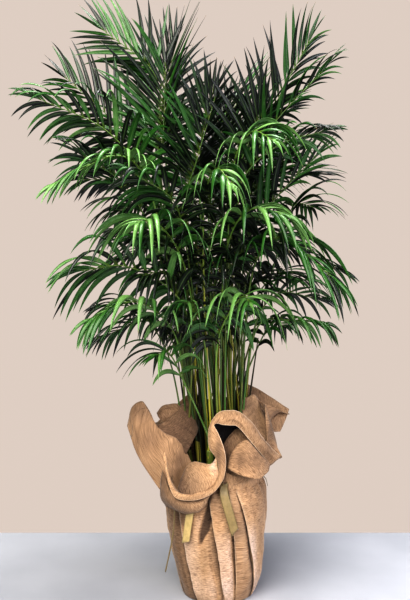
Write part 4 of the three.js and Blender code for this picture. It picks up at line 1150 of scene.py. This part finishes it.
# Painted shade and painted light: where the paper is darker or lighter as seen from the front: x,
# height, half width, half height and change of tone. The sizes, and as far as can be told the
# places, are whole pixels of the photo that a program turned into millimetres. Most lie where the
# photo's colours were compared with the render's, so they stand for shading in the photo's own light.
SHADES = [
    (-226, 554, 44, 33, -0.4), (-191, 478, 33, 36, -0.32), (-104, 417, 16, 33, -0.35),
    (-110, 374, 14, 22, -0.2), (3, 456, 11, 44, -0.5), (144, 444, 28, 33, -0.35),
    (-13, 419, 11, 22, 0.5), (62, 428, 22, 28, -0.42), (23, 436, 11, 38, -0.35),
    (104, 420, 16, 28, -0.3), (-105, 249, 25, 28, -0.55), (-49, 256, 22, 38, 0.5),
    (62, 309, 33, 33, 0.55), (-91, 135, 22, 82, 0.25), (-35, 137, 16, 55, -0.22),
    (78, 154, 22, 55, 0.3), (124, 155, 16, 110, -0.5), (-63, 45, 22, 38, 0.2), (13, 50, 33, 38, 0.3),
    (-126, 341, 14, 16, 0.1), (34, 558, 28, 16, -0.25), (100, 564, 25, 33, -0.5),
    (106, 503, 22, 22, -0.2), (154, 496, 19, 33, -0.45),
]

# The body's pleats: the angle of each free edge by the neck and by the floor.
PLEAT_EDGES = [
    (14, 22), (47, 52), (83, 86), (112, 118), (146, 150), (174, 176), (200, 206), (224, 238),
    (262, 281), (285, 298), (294, 331),
]
PLEAT_TOP_Z, PLEAT_LOW_Z = 330.0, 20.0
# A pleat's free edge reaches back over the end of the pleat before it, which runs on under it:
# how far each of them is turned, in degrees.
LAP_OVER, LAP_UNDER = -2.4, 1.6
COLUMN_DEGREES = 0.75

# The body from the floor past the tie: height, radius and depth of the pleats.
BODY = [
    (0, 99, 1), (13, 103, 3), (66, 110, 10), (130, 120, 14), (196, 130, 16), (252, 136, 16),
    (298, 138, 14), (326, 135, 9), (340, 130.5, 2.7), (346, TIE_RADIUS, 0), (358, TIE_RADIUS, 0),
]
# Its rows of points: from one height to another, and how many.
BODY_ROWS = [(0, 13, 5), (13, 326, 83), (326, 346, 7), (346, 358, 5)]
BASE_RINGS = np.array([0.15, 0.4, 0.7, 0.92, 1.0]) * BASE_FLAT_RADIUS
COLLAR_STEPS = 96

# The neck's gathers: how far they stand out below the tie and above it, and how far down they go.
GATHER_BELOW, GATHER_ABOVE, GATHER_HEIGHT = 1.6, 1.8, 34
# Crumples: their waves to a millimetre, how far they stand out, and an offset that sets them apart.
CRUMPLES = [(0.02, 3.0, 0), (0.06, 1.2, 9)]
FOLD_CRUMPLES = [(0.03, 2.0), (0.08, 0.9)]
FOLD_STEPS = 8  # between two marks of a fold


def periodic(stops, values, angles):
    """Smooth closed course through values at the stops, in degrees."""
    stops = np.asarray(stops, float)
    values = np.asarray(values, float)
    count = len(stops)
    wrapped = np.mod(angles, 360)
    after = np.searchsorted(stops, wrapped, side="right")

    def stop(index):
        turns = np.floor_divide(index, count)
        return stops[index - turns * count] + 360 * turns, values[index - turns * count]

    (_, a), (at_b, b), (at_c, c), (_, d) = (stop(after + k) for k in (-2, -1, 0, 1))
    share = (wrapped - at_b) / (at_c - at_b)
    share = share.reshape(share.shape + (1,) * (values.ndim - 1))
    slope_in, slope_out = (c - a) / 2, (d - b) / 2
    square, cube = share**2, share**3
    return (
        (2 * cube - 3 * square + 1) * b + (cube - 2 * square + share) * slope_in
        + (3 * square - 2 * cube) * c + (cube - square) * slope_out
    )


def fullness(angle, z):
    """How much fuller the sheet is low down: most on the right, and a little in front."""
    low = np.exp(-(((z - 60) / 90) ** 2))
    radians = np.radians(angle)
    return low * (13 * np.maximum(0, np.cos(radians)) + 4 * np.maximum(0, np.sin(-radians)))


def wrap_columns():
    """For each column: its pleat, its share across it, and its place in the pleat's fold."""
    columns = []
    count = len(PLEAT_EDGES)
    for pleat in range(count):
        width = (np.mean(PLEAT_EDGES[(pleat + 1) % count]) - np.mean(PLEAT_EDGES[pleat])) % 360
        columns += [(pleat, 0.0, fold) for fold in (0.0, 0.25, 0.5, 0.75)]
        spans = max(8, round(width / COLUMN_DEGREES))
        columns += [(pleat, share, 1.0) for share in np.linspace(0, 1, spans, endpoint=False)]
    return np.array(columns)


def column_angles(columns, z):
    """The columns' angles in degrees, in a row for each height."""
    pleat, share = columns[:, 0].astype(int), columns[:, 1]
    edges = np.array(PLEAT_EDGES, float)
    nexts = np.vstack([edges[1:], edges[:1] + 360])
    low = np.clip((PLEAT_TOP_Z - z) / (PLEAT_TOP_Z - PLEAT_LOW_Z), 0, 1)[..., None]
    start = lerp(edges[:, 0], edges[:, 1], low)[..., pleat]
    end = lerp(nexts[:, 0], nexts[:, 1], low)[..., pleat]
    return start + (end - start) * share


def dip_shares(heights, angles):
    """How far each point of the body is in the dark dip, from 0 to 1."""
    dip_heights, *sides = np.array(DIP).T
    start, end = (np.interp(heights, dip_heights, side)[:, None] for side in sides)
    dip = smoothstep(start - 2, start + 1.5, angles) * smoothstep(end + 1, end - 2, angles)
    return dip * smoothstep(DIP[0][0], DIP[0][0] + 25, heights)[:, None]


def gathers(radians):
    """The neck's small gathers round the pot, from -1 to 1."""
    return np.sin(radians * 41 + 1.7 * np.sin(radians * 5))


def wrap_body(columns, heights, angles, dip):
    """The outer points of the paper round the pot, up to the tie."""
    share, fold = columns[:, 1], columns[:, 2]
    body_heights, radii, depths = np.array(BODY, float).T
    radius_at = np.interp(heights, body_heights, radii)
    radius_at = np.convolve(np.pad(radius_at, 2, "edge"), np.ones(5) / 5, "valid")
    depth_at = np.interp(heights, body_heights, depths)
    rise = np.where(fold < 1, smoothstep(0, 1, fold), 1 - share**3)
    in_fold = lerp(LAP_UNDER, LAP_OVER, smoothstep(0, 1, fold))
    past_fold = LAP_OVER * (1 - share) ** 6 + LAP_UNDER * share**6
    swing = np.where(fold < 1, in_fold, past_fold) * np.minimum(1, depth_at / 6)[:, None]
    radius = radius_at[:, None] + depth_at[:, None] * rise + fullness(angles, heights[:, None])
    radius = radius - DIP_DEPTH * dip
    gather = np.exp(-(((heights - TIE_Z) / GATHER_HEIGHT) ** 2))[:, None]
    radius = radius + GATHER_BELOW * gather * gathers(np.radians(angles))
    return around_z(radius, np.radians(angles + swing), heights[:, None])


def wrap_collar(neck):
    """The outer points of the paper from the tie to the hem, over each angle of the neck."""
    folds = periodic([angle for angle, _ in COLLAR], [places for _, places in COLLAR], neck)
    start = np.array([[TIE_RADIUS, TIE_Z - TIE_GROOVE], [TIE_RADIUS, TIE_Z + TIE_GROOVE]])
    controls = np.concatenate([np.broadcast_to(start, (len(neck), 2, 2)), folds], 1)
    steps = np.linspace(1 / (controls.shape[1] - 1), 1, COLLAR_STEPS)[1:]
    collar = np.stack([spline(control, steps) for control in controls], 1)
    angle = np.radians(neck)[None]
    ripple = GATHER_ABOVE * gathers(angle) * np.exp(-steps * 7)[:, None]
    return around_z(collar[..., 0] + ripple, angle, collar[..., 1])


def crumples(grid, waves):
    """Smooth noise at each point of a grid, as a sum of waves."""
    heights = np.zeros(grid.shape[:2])
    for place in np.ndindex(heights.shape):
        x, y, z = grid[place]
        for fine, size, offset in waves:
            heights[place] += noise.noise((x * fine + offset, y * fine, z * fine)) * size
    return heights


def make_wrap():
    """The whole sheet: its flat base, the body's pleats, the collar and the folds over it."""
    columns = wrap_columns()
    pleat, share, fold = columns[:, 0].astype(int), columns[:, 1], columns[:, 2]
    heights = np.concatenate([np.linspace(low, high, rows + 1)[1:] for low, high, rows in BODY_ROWS])
    angles = column_angles(columns, heights)
    neck = column_angles(columns, np.array([TIE_Z]))[0]
    dip = dip_shares(heights, angles)
    base = around_z(BASE_RINGS[:, None], np.radians(angles[0]), 0.0)
    outside = np.vstack([base, wrap_body(columns, heights, angles, dip), wrap_collar(neck)])
    tie_row = len(base) + len(heights)
    # The crumples leave the flat base and the paper under the tie as they are.
    crumple = crumples(outside, CRUMPLES)
    crumple *= np.clip((np.arange(len(outside)) - len(base)) / 8, 0, 1)[:, None]
    near_tie = np.exp(-(((outside[..., 2] - TIE_Z) / 16) ** 2))
    near_tie[tie_row + 14:] = 0
    crumple *= 1 - near_tie
    outside = outside + grid_normals(outside) * crumple[..., None]
    inside = outside - grid_normals(outside) * PAPER_THICKNESS
    inside[: len(base), :, 2] = PAPER_THICKNESS
    # How far along the sheet each point lies, from its middle.
    course = np.linalg.norm(np.diff(outside, axis=0), axis=2)
    reach = np.vstack([np.full(len(neck), BASE_RINGS[0]), BASE_RINGS[0] + np.cumsum(course, 0)])
    grain = np.stack(np.broadcast_arrays(np.radians(neck) * TIE_RADIUS, reach, 0.0), -1) * MM
    # Painted highlight along each pleat's free edge and in its turned fold, carried as the hem.
    edge = np.where(fold == 1, 0.3 * smoothstep(0.05, 0.0, share), smoothstep(0.5, 1, fold) * 0.3)
    edge = edge * smoothstep(20, 60, outside[..., 2]) * smoothstep(350, 320, outside[..., 2])
    on_body = smoothstep(0.55, 0.3, (reach - reach.min()) / np.ptp(reach))
    on_body = smoothstep(355, 320, outside[..., 2]) * on_body
    # Painted shade: each pleat darkens in its turned-under fold and towards the next pleat's edge, under the
    # overlap. The pleats' own tones are partly painted light and shade too.
    pleat_tone_and_shade = np.where(fold < 1, 0.4, 1 - 0.75 * smoothstep(0.6, 1, share))
    pleat_tone_and_shade = np.array(PLEAT_TONES)[pleat] * pleat_tone_and_shade
    collar_tone = periodic([angle for angle, _ in COLLAR_TONES], [t for _, t in COLLAR_TONES], neck)
    tone = lerp(collar_tone[None], pleat_tone_and_shade[None], on_body)
    # Painted shade in the crease of the dip.
    tone[len(base): tie_row] *= 1 - 0.8 * dip
    tone = shaded(tone.ravel(), outside.reshape(-1, 3))
    flat_grain = grain.reshape(-1, 3)
    story = {
        "grain": np.vstack([flat_grain, flat_grain, np.zeros((2, 3))]),
        "hem": np.concatenate([edge.ravel(), edge.ravel(), np.zeros(2)]),
        "tone": np.concatenate([tone, tone, np.full(2, 0.5)]),
    }
    parts = [(*close_sheet(outside, inside), story)]
    parts += [make_fold(name, number) for number, name in enumerate(PAPER_FOLDS)]
    points, faces, stories = join(parts)
    return make_piece("paper_wrap", points, faces, [PAPER], "paper", ["wrap"], **stories)


def shaded(tone, points):
    """The tone with the painted shade and painted light of SHADES put in at the front."""
    front = smoothstep(0, -40, points[:, 1])
    for x, z, half_width, half_height, change in SHADES:
        far = ((points[:, 0] - x) / half_width) ** 2 + ((points[:, 2] - z) / half_height) ** 2
        tone = tone * (1 + change * front * np.exp(-far))
    return tone


def make_fold(name, number):
    """A closed thin sheet through a fold's rows of marks, to whole millimetres."""
    rows = [[np.round(seen_at(*mark)) for mark in row] for row in PAPER_FOLDS[name]]
    across = np.linspace(0, 1, (len(rows[0]) - 1) * FOLD_STEPS + 1)
    up = np.linspace(0, 1, (len(rows) - 1) * FOLD_STEPS + 1)
    courses = np.stack([spline(row, across) for row in rows])
    grid = np.stack([spline(courses[:, k], up) for k in range(len(across))], 1)
    normals = unit(np.cross(np.gradient(grid, axis=0), np.gradient(grid, axis=1)))
    waves = [(fine, size, number) for fine, size in FOLD_CRUMPLES]
    grid = grid + normals * crumples(grid, waves)[..., None]
    lengths = np.linalg.norm(np.diff(grid, axis=0, prepend=grid[:1]), axis=2).cumsum(0)
    widths = np.linalg.norm(np.diff(grid, axis=1, prepend=grid[:, :1]), axis=2).cumsum(1)
    grain = np.stack([lengths, widths, np.zeros_like(widths)], -1) * MM
    grain = (grain + [0.7 * number + 1.0, 0.4, 0]).reshape(-1, 3)
    front, back = grid + normals * PAPER_THICKNESS / 2, grid - normals * PAPER_THICKNESS / 2
    vertices = np.vstack([front.reshape(-1, 3), back.reshape(-1, 3)])
    # Painted highlight lines: along the hem of these folds, and on the band along its folded edge.
    hem = np.zeros(grid.shape[:2])
    if name in HEM_HIGHLIGHT_FOLDS:
        hem = hem + smoothstep(0.955, 0.985, up)[:, None]
    if name == "band":
        hem = hem + 0.8 * np.exp(-(((up - 0.25) / 0.03) ** 2))[:, None]
    story = {
        "grain": np.tile(grain, (2, 1)),
        "hem": np.tile(hem.ravel(), 2),
        "tone": shaded(lerp(*FOLD_TONES[name], np.tile(across, 2 * len(up))), vertices),
    }
    return vertices, slab_faces(*grid.shape[:2]), story


def slab_faces(high, wide):
    """Faces of a thin sheet: its front, its back and the strip round its rim."""
    count = high * wide
    faces = grid_faces(high, wide, False)
    faces += [face[::-1] for face in grid_faces(high, wide, False, count)]
    rim = list(range(wide))
    rim += [row * wide + wide - 1 for row in range(1, high)]
    rim += [(high - 1) * wide + k for k in range(wide - 2, -1, -1)]
    rim += [row * wide for row in range(high - 2, 0, -1)]
    for here, after in zip(rim, rim[1:] + rim[:1]):
        faces.append((after, here, count + here, count + after))
    return faces


def grid_normals(grid):
    """Outward normals of a closed grid of rows x columns points."""
    down = np.gradient(grid, axis=0)
    around = np.roll(grid, -1, 1) - np.roll(grid, 1, 1)
    return unit(np.cross(around, down))


def close_sheet(outside, inside):
    """Vertices and faces of the sheet's two sides, closed at the hem and in the base's middle."""
    rows, columns, _ = outside.shape
    count = rows * columns
    vertices = np.vstack([
        outside.reshape(-1, 3), inside.reshape(-1, 3),
        [[0, 0, 0]], [[0, 0, PAPER_THICKNESS]],
    ])
    faces = grid_faces(rows, columns, True)
    faces += [face[::-1] for face in grid_faces(rows, columns, True, count)]
    last = (rows - 1) * columns
    for column in range(columns):
        after = (column + 1) % columns
        faces.append((last + column, last + after, count + last + after, count + last + column))
        faces.append((2 * count, after, column))
        faces.append((2 * count + 1, count + column, count + after))
    return vertices, faces


wrap = make_wrap()

# ------------------------------------------------------------------ the tie

# A tail: its half width, how light it is, how slanted its cut end is, and the radius, angle and
# height of places along its way from the band. The right-hand tail's lower lightness is painted shade.
TAILS = [
    (12.5, 0.35, 0.7, [(136, 277, 356), (150, 277, 330), (159, 281, 286), (163, 287, 226)]),
    (12.0, 1.0, 0.6, [(134, 243, 345), (150, 242, 316), (158, 240, 262), (160, 236, 190)]),
    (2.5, 0.2, 0.0, [(130, 226, 351), (158, 224, 318), (166, 221, 204), (184, 217, 96)]),
    (2.5, 0.1, 0.0, [(130, 352, 351), (143, 353, 338), (149, 354, 316)]),
]
RIBBON_THICKNESS = 0.6
TAIL_STEPS, RIBBON_STEPS = 40, 8  # along a tail, and across it

# The band's section: height from the tie's middle, how far out, and place across the ribbon.
TIE_SECTION = [
    (-3.5, 0.0, -0.9), (-3.2, 0.7, -0.6), (0, 1.1, 0), (3.2, 0.7, 0.6), (3.5, 0.0, 0.9),
    (3.0, -0.3, 0.5), (-3.0, -0.3, -0.5),
]
TIE_CLEARANCE = 1.3
# The band is painted dark: partly the ribbon's own olive, partly painted shade under the paper's edge.
TIE_LIGHT = 0.1

KNOT_ANGLE = math.radians(278)
KNOT_OUT = 6.0
# Its two loops: how far each tilts from level, in radians, and its half length and half depth.
KNOT_LOOPS = [(0.5, 11.0, 6.4), (-0.6, 10.0, 6.0)]
KNOT_HALF_WIDTH, KNOT_HALF_THICKNESS = 5.0, 0.4
# The knot is painted darker: partly the ribbon's own colour, partly painted shade.
KNOT_LIGHT = 0.3


def ribbon_strip(middles, across, over, half_widths, slant):
    """A flat closed strip: its middles, width directions, face directions and half widths."""
    upper = np.linspace(-1, 1, RIBBON_STEPS + 1)
    places = np.concatenate([upper, upper[::-1]])
    faces_out = np.repeat([0.5, -0.5], RIBBON_STEPS + 1)
    cup = 1 - places**2
    ring = (
        middles[:, None] + across[:, None] * (half_widths[:, None] * places[None])[..., None]
        + over[:, None] * (RIBBON_THICKNESS * faces_out + 0.5 * cup)[None, :, None]
    )
    rows, columns, _ = ring.shape
    ring[-1] += unit(middles[-1] - middles[-2]) * (slant * half_widths[-1] * places)[:, None]
    return ring.reshape(-1, 3), tube_faces(rows, columns), np.tile(places, rows)


def tie_band():
    """The ribbon round the neck."""
    around = circle_angles(180)
    wave = 0.7 * np.sin(around * 9)
    rings = [
        around_z(TIE_RADIUS + TIE_CLEARANCE + out, around, TIE_Z + height + wave)
        for height, out, _ in TIE_SECTION
    ]
    ring = np.stack(rings, 1)
    across = np.tile([place for _, _, place in TIE_SECTION], len(around))
    return ring.reshape(-1, 3), loop_faces(*ring.shape[:2]), {"across": across, "pick": TIE_LIGHT}


def tie_tail(half, light, slant, route):
    """A loose end of the ribbon, which hangs down over the paper."""
    stops = [around_z(radius, math.radians(angle), z) for radius, angle, z in route]
    shares = np.linspace(0, 1, TAIL_STEPS)
    middles = spline(stops, shares)
    forward = tangents(stops, shares)
    across = unit(np.cross(forward, unit(middles * [1, 1, 0])))
    over = np.cross(across, forward)
    widths = half * (1 - 0.3 * np.exp(-shares * 9))
    points, faces, places = ribbon_strip(middles, across, over, widths, slant)
    return points, faces, {"across": places, "pick": light}


def knot_loop(tilt, half_length, half_depth):
    """One of the knot's two turns of ribbon."""
    outward = around_z(1.0, KNOT_ANGLE, 0.0)
    sideways = np.array([-math.sin(KNOT_ANGLE), math.cos(KNOT_ANGLE), 0])
    centre = outward * (TIE_RADIUS + KNOT_OUT) + UP * TIE_Z
    turn = circle_angles(48)
    main = unit(sideways * math.cos(tilt) + UP * math.sin(tilt))
    width_way = np.cross(main, outward)
    loop = centre + main * (half_length * np.cos(turn))[:, None]
    loop = loop + outward * (half_depth * np.sin(turn))[:, None]
    waist = KNOT_HALF_WIDTH * (1 - 0.25 * np.sin(turn) ** 2)[:, None]
    places = np.linspace(-1, 1, 7)
    rings = [
        loop + width_way * waist * place + unit(loop - centre) * out
        for side, out in ((places, KNOT_HALF_THICKNESS), (places[::-1], -KNOT_HALF_THICKNESS))
        for place in side
    ]
    ring = np.stack(rings, 1)
    across = np.tile(np.concatenate([places, places[::-1]]), len(turn))
    return ring.reshape(-1, 3), loop_faces(*ring.shape[:2]), {"across": across, "pick": KNOT_LIGHT}


def make_tie():
    """The ribbon round the neck, its loose ends and its knot."""
    parts = [tie_band()]
    parts += [tie_tail(*tail) for tail in TAILS]
    parts += [knot_loop(*loop) for loop in KNOT_LOOPS]
    points, faces, stories = join(parts)
    make_piece("ribbon_tie", points, faces, [RIBBON], "ribbon", ["tie"], **stories)


make_tie()

# ------------------------------------------------------------------ pot and soil

TURNED_SIDES = 96  # round the pot and the soil
SOIL_TOP_RADIUS, SOIL_FLOOR_RADIUS = 121, 91
SOIL_GAP = 0.4  # over the pot's floor
SOIL_RINGS = 40
CRUMBS = 420  # bits of bark, and the small pale ones among them
CRUMB_REACH = 112
PALE_SHARE = 0.16
CUBE = np.array([(x, y, z) for x in (-1, 1) for y in (-1, 1) for z in (-1, 1)], float)
CUBE_FACES = [(0, 1, 3, 2), (4, 6, 7, 5), (0, 4, 5, 1), (2, 3, 7, 6), (0, 2, 6, 4), (1, 5, 7, 3)]


def pot_radius(z):
    """The outer radius of the pot's wall at a height."""
    return lerp(POT_BASE_RADIUS, POT_TOP_RADIUS, (z - POT_FLOOR_Z) / POT_HEIGHT)


def make_pot():
    """The plain tapered pot with its foot and its rolled rim, as an outline turned about Z."""
    top = POT_FLOOR_Z + POT_HEIGHT
    rim = top - POT_RIM_DEPTH
    floor = POT_FLOOR_Z + POT_WALL
    foot = [
        (POT_BASE_RADIUS - 6, POT_FLOOR_Z + 1.5), (POT_BASE_RADIUS - 5, POT_FLOOR_Z),
        (POT_BASE_RADIUS - 1, POT_FLOOR_Z), (POT_BASE_RADIUS, POT_FLOOR_Z + 1.5),
    ]
    outer = [(pot_radius(z), z) for z in np.linspace(POT_FLOOR_Z + 8, rim - 1, 12)]
    mouth = pot_radius(top) - POT_WALL
    lip = [
        (POT_RIM_RADIUS - 1.5, rim), (POT_RIM_RADIUS, rim + 1.2), (POT_RIM_RADIUS, top - 1.6),
        (POT_RIM_RADIUS - 1.2, top - 0.2), (POT_RIM_RADIUS - 3, top), (mouth + 1, top - 0.2),
        (mouth, top - 1.4),
    ]
    inner = [(pot_radius(z) - POT_WALL, z) for z in np.linspace(rim, floor + 8, 10)]
    outline = foot + outer + lip + inner + [(pot_radius(floor) - POT_WALL - 2, floor)]
    around = circle_angles(TURNED_SIDES)
    rings = np.vstack([around_z(radius, around, z) for radius, z in outline])
    faces = tube_faces(len(outline), TURNED_SIDES)
    make_piece("nursery_pot", rings, faces, [POT], "pot", ["pot"])


def soil_height(radius):
    """The height of the soil's smooth crown."""
    return SOIL_EDGE_Z + SOIL_CROWN * (1 - radius / SOIL_TOP_RADIUS)


def make_crumb(rng):
    """A bit of bark, or one time in six a small pale one, lying on the soil."""
    radius, turn = CRUMB_REACH * math.sqrt(rng.uniform()), rng.uniform(0, 2 * math.pi)
    middle = around_z(radius, turn, soil_height(radius) + rng.uniform(0.5, 3))
    size = rng.uniform((2.5, 1.6, 0.8), (8.0, 4.5, 2.2))
    if rng.uniform() < PALE_SHARE:
        size, kind = rng.uniform(1.2, 2.4, 3), 1.0
    else:
        kind = rng.uniform(0.5, 0.9)
    spin, tip = rng.uniform(0, 2 * math.pi), rng.uniform(-0.4, 0.4)
    local = CUBE * size * rng.uniform(0.7, 1.1, (8, 3))
    c, s = math.cos(spin), math.sin(spin)
    local = local @ np.array([[c, s, 0], [-s, c, 0], [0, 0, 1]])
    local[:, 2] += local[:, 0] * tip
    return local + middle, CUBE_FACES, {"pick": kind}


def make_soil():
    """The crowned, bumpy soil with its crumbs."""
    rng = np.random.default_rng(31)
    around = circle_angles(TURNED_SIDES)
    rings = [around_z(SOIL_FLOOR_RADIUS, around, POT_FLOOR_Z + POT_WALL + SOIL_GAP)]
    for radius in np.linspace(1.5, SOIL_TOP_RADIUS, SOIL_RINGS)[::-1]:
        ring = around_z(radius, around, soil_height(radius))
        bumps = [noise.fractal((x * 0.05, y * 0.05, 0.0), 0.8, 2.0, 4) * 3.0 for x, y, _ in ring]
        ring[:, 2] += bumps
        rings.append(ring)
    mound = (np.vstack(rings), tube_faces(len(rings), TURNED_SIDES), {"pick": 0})
    points, faces, stories = join([mound, *(make_crumb(rng) for _ in range(CRUMBS))])
    make_piece("soil_mound", points, faces, [SOIL], "soil", ["soil"], **stories)


make_pot()
make_soil()
